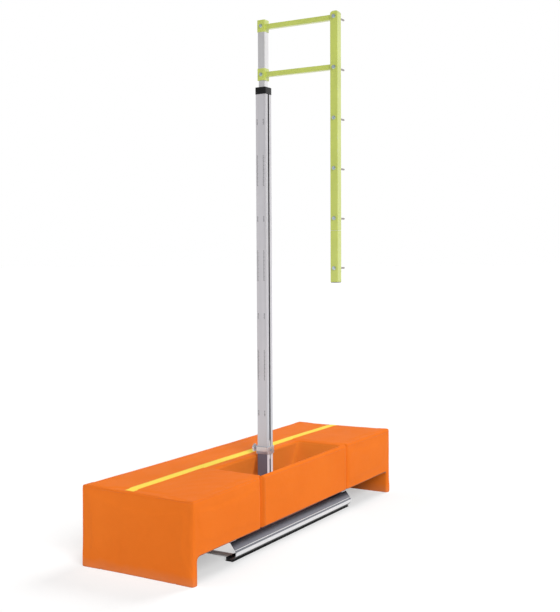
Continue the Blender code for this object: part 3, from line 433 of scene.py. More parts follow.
def drawn_aluminium(name, colour, spread, rough=(0.26, 0.40), dusty=0.0, metallic=1.0, painted_light=()):
    """Extruded or rolled aluminium with its draw lines along the part, and fields of painted light and
    shade.
    """
    material, tree, shader, place = new_finish(name, Metallic=metallic)
    grain = use(tree, "grain", place, Spread=spread)
    marks = use(tree, "marks", place, Amount=0.4)
    base = blended(tree, rise(tree, grain["Drift"], 0.35, 0.65), tint(colour, 0.90), tint(colour))
    base = blended(tree, marks["Smears"], base, tint(colour, 0.80), 0.25)
    roughness = scaled(tree, grain["Lines"], rough[0], rough[1], 0.3, 0.7)
    roughness = added(tree, roughness, marks["Smears"], 0.07)
    if dusty:
        dust = use(tree, "dust", place, Reach=dusty)["Dust"]
        base = blended(tree, dust, base, DUST_ON_METAL, 0.18)
        roughness = added(tree, roughness, dust, 0.1)
    shine = metallic
    # painted light and shade: each field turns the colour and the metalness to its own
    for ranges, painted_colour, metal in painted_light:
        within = field(tree, place, ranges)
        base = blended(tree, within, base, tint(painted_colour))
        shine = add(tree, "Mix", {0: within, 2: shine, 3: metal}).outputs[0]
        tree.links.new(shine, shader.inputs["Metallic"])
    coloured(tree, shader, base, roughness)
    bump(tree, shader, maths(tree, "ADD", grain["Lines"], marks["Scuffs"]), 0.00006)
    return material


def cast_aluminium():
    material, tree, shader, place = new_finish("cast_aluminium_finish", Metallic=0.75)
    pits = cloudy(tree, place, Scale=900, Detail=2)
    cloud = cloudy(tree, place, Scale=45, Detail=3)
    base = blended(tree, cloud, (0.62, 0.64, 0.68, 1), (0.74, 0.76, 0.80, 1))
    # painted shade on the collar's lower front
    shaded = field(tree, place, {"Z": COLLAR_SHADE_Z, "Y": COLLAR_SHADE_Y})
    base = blended(tree, shaded, base, COLLAR_SHADE)
    coloured(tree, shader, base, scaled(tree, cloud, 0.20, 0.28, 0.3, 0.7))
    bump(tree, shader, pits, 0.00004)
    return material


def galvanised_steel():
    material, tree, shader, place = new_finish("galvanised_finish", Metallic=0.9)
    flower = use(tree, "zinc", place)["Flower"]
    dust = use(tree, "dust", place, Reach=0.16)["Dust"]
    base = blended(tree, flower, (0.43, 0.46, 0.48, 1), (0.60, 0.63, 0.65, 1))
    base = blended(tree, dust, base, DUST_ON_METAL, 0.3)
    coloured(tree, shader, base, scaled(tree, flower, 0.38, 0.55))
    bump(tree, shader, flower, 0.00005)
    return material


def powder_coat(name, colour, rough, tube=None, scuff=None, gloss=0.12):
    """Baked paint, worn through to the metal at a tube's corners, and rubbed to the scuff colour."""
    values = {"Coat_Weight": gloss, "Coat_Roughness": 0.22, "Coat_IOR": 1.85}
    material, tree, shader, place = new_finish(name, **values)
    skin = use(tree, "skin", place)
    marks = use(tree, "marks", place, Amount=0.6)
    base = blended(tree, rise(tree, skin["Drift"], 0.3, 0.7), tint(colour), tint(colour, 0.93))
    base = blended(tree, marks["Smears"], base, tint(colour, 0.7), 0.10)
    if scuff:
        base = blended(tree, marks["Scuffs"], base, tint(scuff), 0.6)
    if tube:
        centre, half = tube
        worn = use(tree, "corners", place, Centre=centre, Half=half)["Worn"]
        base = blended(tree, worn, base, BARE_METAL)
        tree.links.new(worn, shader.inputs["Metallic"])
    drift = scaled(tree, skin["Drift"], rough - 0.05, rough + 0.05, 0.3, 0.7)
    coloured(tree, shader, base, added(tree, drift, marks["Smears"], 0.1))
    bump(tree, shader, skin["Peel"], 0.00005)
    return material


def zinc_plating(name, shank_from=None):
    """Bluish zinc plating; a peg's shank, from shank_from on, is rubbed brown-grey by the crossbar."""
    material, tree, shader, place = new_finish(name, Metallic=1.0)
    marks = use(tree, "marks", place, Amount=0.8)
    cloud = cloudy(tree, place, Scale=60, Detail=3)
    base = blended(tree, cloud, (0.42, 0.55, 0.66, 1), (0.72, 0.78, 0.82, 1))
    base = blended(tree, marks["Scuffs"], base, (0.50, 0.49, 0.46, 1))
    if shank_from:
        along = add(tree, "SeparateXYZ", {0: place}).outputs["Y"]
        rubbed = rise(tree, along, shank_from, shank_from + 0.03)
        base = blended(tree, rubbed, base, (0.36, 0.32, 0.31, 1))
    coloured(tree, shader, base, scaled(tree, cloud, 0.18, 0.34))
    return material


def moulded_plastic(name, colour, rough, dusty=0.0):
    material, tree, shader, place = new_finish(name, Specular_IOR_Level=0.3)
    pebble = add(tree, "TexVoronoi", {"Vector": place, "Scale": 900})
    marks = use(tree, "marks", place, Amount=0.5)
    base = blended(tree, marks["Smears"], tint(colour), (*[1.5 * c + 0.01 for c in colour], 1), 0.4)
    if dusty:
        dust = use(tree, "dust", place, Reach=dusty)["Dust"]
        base = blended(tree, dust, base, DUST_ON_PLASTIC, 0.35)
    coloured(tree, shader, base, scaled(tree, marks["Smears"], rough - 0.05, rough + 0.08))
    bump(tree, shader, pebble.outputs["Distance"], 0.00008)
    return material


def cover_cloth(name, colour, shade, crease=0.0012, inner=None, passed_on=None):
    """Coated cloth: a faint rib, soft creases, a slow drift of colour and a little dust at the foot.

    inner holds a lighter copy of the cloth's colour, painted light in the notch and behind the flap, and
    a dark colour, painted shade on the ceiling of the hollow under the pad; marks on the mesh place both.
    A third mark places painted shade, a darker copy of the cloth, in the valleys at the flap's ends.
    passed_on is the paler colour that it throws on the floor and the metal.
    """
    material, tree, shader, place = new_finish(name, Specular_IOR_Level=0.04)
    cloth = use(tree, "cloth", place)
    marks = use(tree, "marks", place, Amount=0.2)
    dust = use(tree, "dust", place, Reach=0.07)["Dust"]
    base = blended(tree, rise(tree, cloth["Mottle"], 0.35, 0.65), tint(colour), tint(shade))
    base = blended(tree, marks["Smears"], base, tint(colour, 0.82), 0.10)
    base = blended(tree, dust, base, DUST_ON_CLOTH, 0.16)
    # painted shade in the seam valleys: a darker copy of the cloth
    seam_shade = rise(tree, marked(tree, "seam_shade"), 0, 0.8)
    base = blended(tree, seam_shade, base, (*[shade[0] * 0.74, shade[1] * 0.66, shade[2] * 0.5], 1))
    # painted light: a lighter copy of the cloth in the notch and behind the flap
    if inner:
        base = blended(tree, marked(tree, "painted_notch_light"), base, tint(inner[0]))
    if passed_on:
        rays = add(tree, "LightPath").outputs
        beside = maths(tree, "MAXIMUM", rays["Is Diffuse Ray"], rays["Is Glossy Ray"])
        base = blended(tree, beside, base, tint(passed_on))
    # painted shade: a dark colour on the ceiling of the hollow under the pad
    if inner:
        base = blended(tree, marked(tree, "under"), base, tint(inner[1]))
    gloss = scaled(tree, cloth["Ribs"], 0.54, 0.64, -1.5, 1.5)
    coloured(tree, shader, base, added(tree, gloss, dust, 0.15))
    fine = add(tree, "Bump", {"Height": cloth["Ribs"], "Distance": 0.00012, "Strength": 0.35})
    feeds = {"Height": cloth["Creases"], "Distance": crease, "Strength": 0.4, "Normal": fine.outputs[0]}
    tree.links.new(add(tree, "Bump", feeds).outputs[0], shader.inputs["Normal"])
    return material


def hook_and_loop(name):
    """The fuzzy face of hook and loop tape."""
    material, tree, shader, place = new_finish(name, Roughness=0.95, Sheen_Weight=0.4)
    pile = cloudy(tree, place, Scale=1400, Detail=2)
    coloured(tree, shader, blended(tree, pile, (0.012, 0.012, 0.013, 1), (0.06, 0.06, 0.062, 1)))
    bump(tree, shader, pile, 0.0006)
    return material


def thread(name, colour):
    """Twisted sewing thread."""
    material, tree, shader, place = new_finish(name, Roughness=0.6, Sheen_Weight=0.3)
    twist = cloudy(tree, place, Scale=1800, Detail=1)
    coloured(tree, shader, blended(tree, twist, tint(colour), tint(colour, 0.75)))
    return material


def print_ink():
    """Dark ink, a little thin in places."""
    material, tree, shader, place = new_finish("print_ink", Roughness=0.55)
    thin = rise(tree, cloudy(tree, place, Scale=260, Detail=3), 0.45, 0.7)
    coloured(tree, shader, blended(tree, thin, (0.015, 0.015, 0.02, 1), (0.08, 0.08, 0.09, 1)))
    return material


# How the drawn lines are spread, and each tube's axis and half its width
ALONG_X = (0.02, 1, 1)
ALONG_Y = (1, 0.02, 1)
ALONG_Z = (1, 1, 0.015)
BAR_TUBE = ((MAST_X + 0.5155, MAST_Y, 0), 0.0254)
SLEEVE_TUBE = ((MAST_X, MAST_Y, 0), 0.028)
FINISHES = {
    "rail": drawn_aluminium(
        "rail_finish", (0.87, 0.87, 0.89), ALONG_Y, (0.14, 0.24), dusty=0.03, painted_light=RAIL_PAINTED_SHADE
    ),
    "strap": drawn_aluminium("strap_finish", (0.80, 0.80, 0.81), ALONG_X, dusty=0.05, metallic=0.3),
    "upright": drawn_aluminium(
        "upright_finish",
        (0.66, 0.645, 0.675),
        ALONG_Z,
        (0.36, 0.48),
        metallic=0.55,
        painted_light=UPRIGHT_PAINTED_LIGHT,
    ),
    "mast": drawn_aluminium("mast_finish", (0.84, 0.83, 0.84), ALONG_Z, (0.28, 0.38)),
    "cast": cast_aluminium(),
    "galvanised": galvanised_steel(),
    "black_steel": powder_coat("black_steel_finish", (0.018, 0.018, 0.020), 0.42, scuff=RUBBED_BLACK),
    "zinc": zinc_plating("zinc_plating_finish"),
    "peg": zinc_plating("peg_finish", shank_from=MAST_Y + 0.04),
    "bar_paint": powder_coat("bar_paint_finish", YELLOW, 0.36, BAR_TUBE, RUBBED_YELLOW, 1.0),
    "arm_paint": powder_coat("arm_paint_finish", YELLOW, 0.36, scuff=RUBBED_YELLOW, gloss=1.0),
    "sleeve_paint": powder_coat("sleeve_paint_finish", YELLOW, 0.36, SLEEVE_TUBE, RUBBED_YELLOW, 1.0),
    "black_plastic": moulded_plastic("black_plastic_finish", (0.003, 0.003, 0.0035), 0.26),
    "nylon": moulded_plastic("nylon_finish", (0.74, 0.72, 0.66), 0.5, dusty=0.08),
    "rubber": moulded_plastic("rubber_finish", (0.012, 0.012, 0.012), 0.7),
    "orange": cover_cloth(
        "orange_cover_finish",
        (0.87, 0.195, 0.020),
        (0.84, 0.180, 0.017),
        # inner: a lighter orange as painted light in the notch, and a dark painted shade for the hollow's
        # ceiling
        inner=((0.98, 0.270, 0.037), (0.16, 0.155, 0.15)),
        passed_on=(1.0, 0.68, 0.58),
    ),
    "yellow_tape": cover_cloth(
        "yellow_tape_finish",
        (1.0, 0.775, 0.11),
        (0.98, 0.74, 0.10),
        crease=0.0004,
        passed_on=(0.85, 0.82, 0.76),
    ),
    "hook": hook_and_loop("hook_tape_finish"),
    "orange_thread": thread("orange_thread", (0.62, 0.12, 0.015)),
    "yellow_thread": thread("yellow_thread", (0.80, 0.55, 0.05)),
    "ink": print_ink(),
}

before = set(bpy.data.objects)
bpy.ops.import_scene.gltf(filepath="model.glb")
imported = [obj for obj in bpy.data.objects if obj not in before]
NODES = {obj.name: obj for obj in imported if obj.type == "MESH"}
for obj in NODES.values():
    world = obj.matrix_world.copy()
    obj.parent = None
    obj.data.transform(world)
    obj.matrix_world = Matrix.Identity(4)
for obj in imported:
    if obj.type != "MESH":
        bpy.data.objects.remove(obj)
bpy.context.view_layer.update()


# ---------------------------------------------------------------- hard parts

NODE_FINISHES = {
    "rail": "pit_side_rail outer_side_rail",
    "strap": "front_top_strap rear_top_strap front_bottom_strap middle_bottom_strap rear_bottom_strap",
    "rubber": "pit_side_ground_strip outer_ground_strip",
    "galvanised": "carriage_plate",
    "nylon": "front_pit_side_glide rear_pit_side_glide front_outer_glide rear_outer_glide guide_shoe",
    "black_steel": "upright_base_plate front_gusset rear_gusset upright_spigot",
    "zinc": "foot_bolt_1 foot_bolt_2 foot_bolt_3 foot_bolt_4"
    " collar_link_bolt upper_sleeve_bolt lower_sleeve_bolt clamp_screw",
    "peg": "crossbar_peg_1 crossbar_peg_2 crossbar_peg_3 crossbar_peg_4 crossbar_peg_5 crossbar_peg_6",
    "upright": "outer_upright",
    "mast": "inner_mast head_post bar_spigot",
    "black_plastic": "upright_cap head_post_plug bar_bottom_plug",
    "cast": "lock_collar star_knob",
    "sleeve_paint": "upper_sleeve lower_sleeve",
    "arm_paint": "upper_arm lower_arm",
    "bar_paint": "peg_bar_upper peg_bar_lower bar_top_cap",
}


def dress_hard_parts():
    for finish, names in NODE_FINISHES.items():
        width = EASED_CAST if finish in ("cast", "black_plastic") else EASED_SHEET
        for name in names.split():
            for slot in NODES[name].material_slots:
                slot.material = FINISHES[finish]
            if finish != "rubber":
                ease_edges(NODES[name], width)


def smooth_by_angle():
    """Mesh nodes that shade a form smooth wherever its faces meet at less than 35 degrees."""
    tree = bpy.data.node_groups.new("smooth by angle", "GeometryNodeTree")
    tree.interface.new_socket("Mesh", in_out="INPUT", socket_type="NodeSocketGeometry")
    tree.interface.new_socket("Mesh", in_out="OUTPUT", socket_type="NodeSocketGeometry")
    given, taken = tree.nodes.new("NodeGroupInput"), tree.nodes.new("NodeGroupOutput")
    angle = tree.nodes.new("GeometryNodeInputMeshEdgeAngle")
    gentle = tree.nodes.new("FunctionNodeCompare")
    gentle.operation = "LESS_EQUAL"
    gentle.inputs[1].default_value = EDGE_ANGLE
    tree.links.new(angle.outputs["Unsigned Angle"], gentle.inputs[0])
    edges, faces = (tree.nodes.new("GeometryNodeSetShadeSmooth") for _ in range(2))
    edges.domain, faces.domain = "EDGE", "FACE"
    faces.inputs["Shade Smooth"].default_value = True
    tree.links.new(given.outputs[0], edges.inputs[0])
    tree.links.new(gentle.outputs[0], edges.inputs["Shade Smooth"])
    tree.links.new(edges.outputs[0], faces.inputs[0])
    tree.links.new(faces.outputs[0], taken.inputs[0])
    return tree


SMOOTH_BY_ANGLE = smooth_by_angle()


def ease_edges(node, width):
    """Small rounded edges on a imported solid, and smooth shading over its curved faces."""
    weld = node.modifiers.new("Weld", "WELD")
    weld.merge_threshold = 1e-5
    plain = node.modifiers.new("Plain faces", "DECIMATE")
    plain.decimate_type = "DISSOLVE"
    plain.angle_limit = PLAIN_ANGLE
    bevel = node.modifiers.new("Eased edges", "BEVEL")
    bevel.width = width
    bevel.segments = 2
    bevel.profile = 0.5
    bevel.limit_method = "ANGLE"
    bevel.angle_limit = EDGE_ANGLE
    smooth = node.modifiers.new("Smooth by angle", "NODES")
    smooth.node_group = SMOOTH_BY_ANGLE
    flat = node.modifiers.new("Flats stay flat", "WEIGHTED_NORMAL")
    flat.weight = 100
    flat.keep_sharp = True


# ---------------------------------------------------------------- soft parts


def new_piece(name, mesh, finish, body):
    piece = placed(name, mesh)
    mesh.materials.clear()
    mesh.materials.append(FINISHES[finish])
    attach(piece, body)
    return piece


def finished(name, bm, finish, body, sharp=40):
    """A new piece from a bmesh, its faces turned outwards and its curves smooth."""
    bmesh.ops.recalc_face_normals(bm, faces=bm.faces)
    mesh = mesh_from(name, bm)
    mesh.shade_smooth()
    mesh.set_sharp_from_angle(angle=math.radians(sharp))
    return new_piece(name, mesh, finish, body)


def foam_form(node, voxel):
    """A node's solid as one even net of small cells with softened edges."""
    bm = bmesh.new()
    bm.from_mesh(NODES[node].data)
    bmesh.ops.remove_doubles(bm, verts=bm.verts, dist=1e-5)
    form = placed(node + "_form", mesh_from(node + "_form", bm))
    remesh = form.modifiers.new("Remesh", "REMESH")
    remesh.mode = "VOXEL"
    remesh.voxel_size = voxel
    remesh.use_smooth_shade = True
    return as_mesh(form)


def swollen(net, swell, held):
    """The net after its foam has pressed the cover out; held says how much of that a point keeps."""
    rest = [(v.co.copy(), v.normal.copy()) for v in net.vertices]
    cushion = placed("swelling", net)
    cloth = cushion.modifiers.new("Cloth", "CLOTH")
    for key, value in CLOTH_SETTINGS.items():
        setattr(cloth.settings, key, value)
    for key, value in CLOTH_STIFFNESS.items():
        setattr(cloth.settings, key + "_stiffness", value)
    cloth.settings.effector_weights.gravity = 0
    cloth.collision_settings.use_collision = False
    cloth.point_cache.frame_start = 1
    cloth.point_cache.frame_end = SWELL_FRAMES
    scene = bpy.context.scene
    for step in range(1, SWELL_FRAMES + 1):
        scene.frame_set(step)
    moved = as_mesh(cushion)
    scene.frame_set(1)
    for vertex, (start, way) in zip(moved.vertices, rest):
        reach = min(max((vertex.co - start).dot(way), 0.0), swell)
        vertex.co = start + way * reach * held(start)
    return moved


def ramp(value, low, high):
    """0 below low, 1 above high, and a smooth rise between."""
    share = min(max((value - low) / (high - low), 0.0), 1.0)
    return share * share * (3 - 2 * share)


def pad_hold(point):
    """The cover lies still in and beside the notch, in the hollow and the recess, and on the ground."""
    outside = 1.0
    if abs(point.y) < NOTCH_HALF_LENGTH + 0.03:
        outside = ramp(NOTCH_BACK - point.x, *STILL_BESIDE_NOTCH)
    recess = FLAP_FROM - 0.02 < point.y < FLAP_TO + 0.02 and point.x > PAD_FRONT - 0.04
    inside = abs(point.y) < PAD_HALF_LENGTH - 0.6 * PAD_WALL and point.z < PAD_UNDERSIDE + 0.01
    inner = inside and point.x > PAD_BACK + 0.6 * PAD_WALL
    return 0.0 if recess or inner else outside * ramp(point.z, 0.0, HELD_FROM_GROUND)


def flap_hold(point):
    """Only the flap's front swells."""
    return ramp(point.x, PAD_FRONT - 0.02, PAD_FRONT)


def softened(net, depth, seed):
    """Slow hollows of a cover that has been leant on, long ones with shorter ones in them."""
    ways = [v.normal.copy() for v in net.vertices]
    for vertex, way in zip(net.vertices, ways):
        here = vertex.co
        wave = noise.noise(here * LONG_HOLLOWS + Vector((seed, 0, 0)))
        wave += SHORT_SHARE * noise.noise(here * SHORT_HOLLOWS + Vector((0, seed, 0)))
        vertex.co = here + way * wave * depth


def settled(net):
    """The pad's slight twist: its pit-side edge has sunk at the runway end and risen at the far one."""
    for vertex in net.vertices:
        here = vertex.co
        share = here.y / PAD_HALF_LENGTH * ramp(here.x, PAD_BACK, PAD_FRONT)
        here.z += PAD_TWIST * (share * max(here.z, 0.0) / PAD_HEIGHT)


def firm_foot(net):
    """The cover's lowest row set out to its walls again, where it stands on the ground."""
    walls = surface_of(net)
    ways = [v.normal.copy() for v in net.vertices]
    reach = 1.5 * PAD_VOXEL
    for vertex, way in zip(net.vertices, ways):
        here = vertex.co
        if here.z > PAD_VOXEL:
            continue
        for axis in (0, 1):
            if abs(way[axis]) > 0.3:
                out = Vector((0, 0, 0))
                out[axis] = math.copysign(1, way[axis])
                spot = walls.ray_cast(Vector((here.x, here.y, reach)) - out * reach, out, 2 * reach)[0]
                if spot:
                    here[axis] = spot[axis]
        if here.z < 0.5 * PAD_VOXEL:
            here.z = max(0.0, 2 * here.z - 0.5 * PAD_VOXEL)


def painted_light_marks(net, deep):
    """Marks of painted light in the notch and behind the flap, and of painted shade on the hollow's
    ceiling.
    """
    painted_notch_light = net.attributes.new("painted_notch_light", "FLOAT", "POINT").data
    under = net.attributes.new("under", "FLOAT", "POINT").data
    for vertex, new, dark in zip(net.vertices, painted_notch_light, under):
        here, way = vertex.co, vertex.normal
        along = ramp(NOTCH_HALF_LENGTH + 0.02 - abs(here.y), 0.0, FADE)
        across = ramp(deep - here.x, 0.0, FADE) * ramp(here.x, NOTCH_BACK - 0.12, NOTCH_BACK - 0.08)
        new.value = along * across * ramp(PAD_HEIGHT - 0.004 - here.z, 0.0, 0.008)
        # painted shade: where the hollow's ceiling faces down, it is marked for the dark colour
        inside = abs(here.y) < PAD_HALF_LENGTH - 0.5 * PAD_WALL and here.x > PAD_BACK + 0.5 * PAD_WALL
        ceiling = inside and 0.6 * PAD_UNDERSIDE < here.z < PAD_UNDERSIDE + 0.03
        dark.value = ramp(-way.z, 0.5, 0.8) if ceiling else 0.0


def drawn_seams(net):
    """The valleys at the flap's ends, where both covers turn in to their stitching, and their painted
    shade.
    """
    seam_shade = net.attributes.new("seam_shade", "FLOAT", "POINT").data
    for vertex, shade_here in zip(net.vertices, seam_shade):
        here = vertex.co
        if here.x > PAD_FRONT - 0.022 and here.z > 0.5 * PAD_UNDERSIDE:
            shade_here.value = max(much * (1 - abs(here.y - y) / half) for y, half, much in PAINTED_SEAM_SHADE)
            offset = min(here.y - FLAP_FROM, here.y - FLAP_TO, key=abs)
            pull = max(1 - abs(offset) / FLAP_SEAM, 0.0) ** 2
            here.x -= FLAP_SEAM_DEPTH * pull
            here.y += math.copysign(FLAP_SEAM_OPEN * pull, offset)


def surface_of(mesh):
    return BVHTree.FromPolygons([v.co for v in mesh.vertices], [p.vertices for p in mesh.polygons])


def laid_on(surface, points, pitch, above):
    """Points at most pitch apart along a line, set on the cover, each with the cover's normal there."""
    laid = []
    for start, end in zip(points, points[1:]):
        start, end = Vector(start), Vector(end)
        steps = max(1, math.ceil((end - start).length / pitch))
        for i in range(steps + (end == Vector(points[-1]))):
            spot, normal, _, _ = surface.find_nearest(start.lerp(end, i / steps))
            laid.append((spot + normal * above, normal))
    return laid


def round_curve(name, radius, steps):
    """An empty curve with a round section."""
    curve = bpy.data.curves.new(name, "CURVE")
    curve.dimensions = "3D"
    curve.bevel_depth = radius
    curve.bevel_resolution = steps
    curve.use_fill_caps = True
    return curve


def welt(name, lines, surface, finish, body):
    """Raised seams along lines on the cover."""
    curve = round_curve(name, WELT_RADIUS, 2)
    for points in lines:
        laid = laid_on(surface, points, 0.02, 0.0)
        spline = curve.splines.new("POLY")
        spline.points.add(len(laid) - 1)
        for point, (spot, _) in zip(spline.points, laid):
            point.co = (*spot, 1)
    mesh = as_mesh(placed(name, curve))
    mesh.shade_smooth()
    return new_piece(name, mesh, finish, body)


def stitches(name, lines, surface, finish, body):
    """Rows of single stitches sunk a little in the cover."""
    bm = bmesh.new()
    for points in lines:
        laid = laid_on(surface, points, STITCH_PITCH, STITCH_RADIUS * 0.3)
        for (spot, normal), (after, _) in zip(laid, laid[1:]):
            along = after - spot
            if along.length < 0.5 * STITCH_PITCH:
                continue
            along.normalize()
            across = normal.cross(along).normalized()
            turn = Matrix((along, across, along.cross(across))).transposed().to_4x4()
            size = Matrix.Diagonal((STITCH_LENGTH / 2, STITCH_RADIUS, STITCH_RADIUS, 1))
            place = Matrix.Translation(spot) @ turn @ size
            bmesh.ops.create_icosphere(bm, subdivisions=1, radius=1, matrix=place)
    mesh = mesh_from(name, bm)
    mesh.shade_smooth()
    return new_piece(name, mesh, finish, body)


def sewn_tape(name, surface, finish, body):
    """The flat stripe along Y on the cover's top, its two sides pulled down by their stitching."""
    bm = bmesh.new()
    length = STRIPE_FAR - STRIPE_NEAR
    place = Matrix.Translation((STRIPE_CENTRE, (STRIPE_NEAR + STRIPE_FAR) / 2, 0))
    place = place @ Matrix.Diagonal((STRIPE_WIDTH, length, 1, 1))
    rows = math.ceil(length / 0.015)
    bmesh.ops.create_grid(bm, x_segments=6, y_segments=rows, size=0.5, matrix=place)
    for vertex in bm.verts:
        spot, _, _, _ = surface.ray_cast(Vector((vertex.co.x, vertex.co.y, 1.0)), Vector((0, 0, -1)))
        side = abs(vertex.co.x - STRIPE_CENTRE) > 0.49 * STRIPE_WIDTH
        vertex.co.z = spot.z + STRIPE_THICK * (0.6 if side else 1.0)
    bmesh.ops.solidify(bm, geom=bm.faces[:], thickness=STRIPE_THICK)
    return finished(name, bm, finish, body, sharp=50)


def round_top(front, back, end, gap, z):
    """A line round the pad's top, from beside the flap's near end to beside its far one."""
    near, far = (front, FLAP_FROM - gap), (front, FLAP_TO + gap)
    return [(x, y, z) for x, y in (near, (front, -end), (back, -end), (back, end), (front, end), far)]


def make_pad():
    net = swollen(foam_form("pad_body", PAD_VOXEL), PAD_SWELL, pad_hold)
    softened(net, *PAD_HOLLOWS)
    firm_foot(net)
    drawn_seams(net)
    painted_light_marks(net, PAD_FRONT)
    settled(net)
    cover = new_piece("pad_cover", net, "orange", "pad")
    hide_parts("pad_body")
    surface = surface_of(cover.data)

    high, over = PAD_HEIGHT - SEAM_DOWN, PAD_HEIGHT + 0.01
    back, front, end = PAD_BACK + SEAM_IN, PAD_FRONT - SEAM_IN, PAD_HALF_LENGTH - SEAM_IN
    corners = ((back, -end), (front, -end), (back, end), (front, end))
    lines = [round_top(front, back, end, WELT_GAP, high)]
    lines += [[(x, y, high), (x, y, 0.004)] for x, y in corners]
    welt("pad_welts", lines, surface, "orange", "pad")

    rows = [
        round_top(front, back, end, STITCH_GAP, high - STITCH_INSET),
        round_top(front - STITCH_INSET, back + STITCH_INSET, end - STITCH_INSET, STITCH_GAP, over),
    ]
    stitches("pad_stitches", rows, surface, "orange_thread", "pad")

    tape = sewn_tape("stripe_tape", surface, "yellow_tape", "pad")
    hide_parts("pad_stripe")
    side = STRIPE_WIDTH / 2 - 0.004
    rows = [
        [(STRIPE_CENTRE + x, STRIPE_NEAR + 0.006, over), (STRIPE_CENTRE + x, STRIPE_FAR - 0.012, over)]
        for x in (-side, side)
    ]
    stitches("stripe_stitches", rows, surface_of(tape.data), "yellow_thread", "pad")


def make_flap():
    net = swollen(foam_form("pad_flap", FLAP_VOXEL), FLAP_SWELL, flap_hold)
    softened(net, *FLAP_HOLLOWS)
    drawn_seams(net)
    painted_light_marks(net, PAD_FRONT - 0.5 * FLAP_THICK)
    settled(net)
    cover = new_piece("flap_cover", net, "orange", "pad_flap")
    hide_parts("pad_flap")
    surface = surface_of(cover.data)
    near, far = FLAP_FROM + FLAP_SEAM + STITCH_INSET, FLAP_TO - FLAP_SEAM - STITCH_INSET
    low, high = PAD_UNDERSIDE + STITCH_INSET, PAD_HEIGHT - 2 * STITCH_INSET
    outline = [(near, low), (far, low), (far, high), (near, high), (near, low)]
    rows = [[(PAD_FRONT + 0.01, y, z) for y, z in outline]]
    stitches("flap_stitches", rows, surface, "orange_thread", "pad_flap")


def make_closure():
    """Hook tape in the pad's recess and loop tape on the flap's back."""
    strips = (("hook_strip", "hook_tape", "pad"), ("loop_strip", "loop_tape", "pad_flap"))
    for node, name, body in strips:
        low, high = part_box(node)
        bm = bmesh.new()
        place = Matrix.Translation((low + high) / 2) @ Matrix.Diagonal((*(high - low), 1))
        bmesh.ops.create_cube(bm, size=1, matrix=place)
        eased = {"offset": 0.0003, "segments": 2, "profile": 0.5, "affect": "EDGES", "material": -1}
        bmesh.ops.bevel(bm, geom=bm.edges[:], **eased)
        tape = new_piece(name, mesh_from(name, bm), "hook", body)
        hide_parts(node)


# ---------------------------------------------------------------- small things on the hard parts


def weld_bead(bm, path, radius, closed=False):
    """A rippled bead along a path, laid on in short overlapping drops."""
    curve = round_curve("bead", radius, 1)
    points = []
    ends = list(path) + [path[0]] if closed else list(path)
    for start, end in zip(ends, ends[1:]):
        start, end = Vector(start), Vector(end)
        steps = max(2, math.ceil((end - start).length / (WELD_DROP * radius)))
        points += [start.lerp(end, i / steps) for i in range(steps)]
    if not closed:
        points.append(Vector(ends[-1]))
    spline = curve.splines.new("POLY")
    spline.points.add(len(points) - 1)
    spline.use_cyclic_u = closed
    for number, (point, spot) in enumerate(zip(spline.points, points)):
        drift = 1 + 0.10 * noise.noise(spot * 90)
        point.co = (*spot, 1)
        point.radius = drift * (1.0 if number % 2 else WELD_HOLLOW)
    bm.from_mesh(as_mesh(placed("bead", curve)))


def square_loop(centre, half):
    """The corners of an upright square that faces along X, with cut corners."""
    cut = 0.82 * half
    turns = ((half, -cut), (half, cut), (cut, half), (-cut, half))
    turns += tuple((-u, -v) for u, v in turns)
    return [Vector(centre) + Vector((0, u, v)) for u, v in turns]


def make_welds():
    """Beads round both ends of both arms in their yellow paint, and along the gussets in black."""
    bm = bmesh.new()
    for arm in ("upper_arm", "lower_arm"):
        low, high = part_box(arm)
        middle, half = (low + high) / 2, (high.z - low.z) / 2
        for x in (low.x + 0.0006, high.x - 0.0006):
            weld_bead(bm, square_loop((x, middle.y, middle.z), half), WELD_RADIUS, closed=True)
    finished("arm_welds", bm, "arm_paint", "mast")

    bm = bmesh.new()
    for gusset in ("front_gusset", "rear_gusset"):
        low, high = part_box(gusset)
        for y in (low.y, high.y):
            weld_bead(bm, [(low.x + 0.004, y, low.z), (high.x, y, low.z)], WELD_RADIUS)
            weld_bead(bm, [(low.x, y, low.z + 0.004), (low.x, y, high.z - 0.004)], 0.7 * WELD_RADIUS)
    finished("gusset_welds", bm, "black_steel", "carriage")


def make_rivets():
    """Dome rivets through the top straps' ends into the rails."""
    bm = bmesh.new()
    for strap in ("front_top_strap", "rear_top_strap"):
        low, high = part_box(strap)
        for x in (low.x + RIVET_FROM_END, high.x - RIVET_FROM_END):
            for y in (low.y + RIVET_FROM_SIDE, high.y - RIVET_FROM_SIDE):
                dome = Matrix.Diagonal((RIVET_RADIUS, RIVET_RADIUS, RIVET_HEIGHT, 1))
                place = Matrix.Translation((x, y, high.z)) @ dome
                bmesh.ops.create_uvsphere(bm, u_segments=16, v_segments=8, radius=1, matrix=place)
    finished("strap_rivets", bm, "strap", "base")


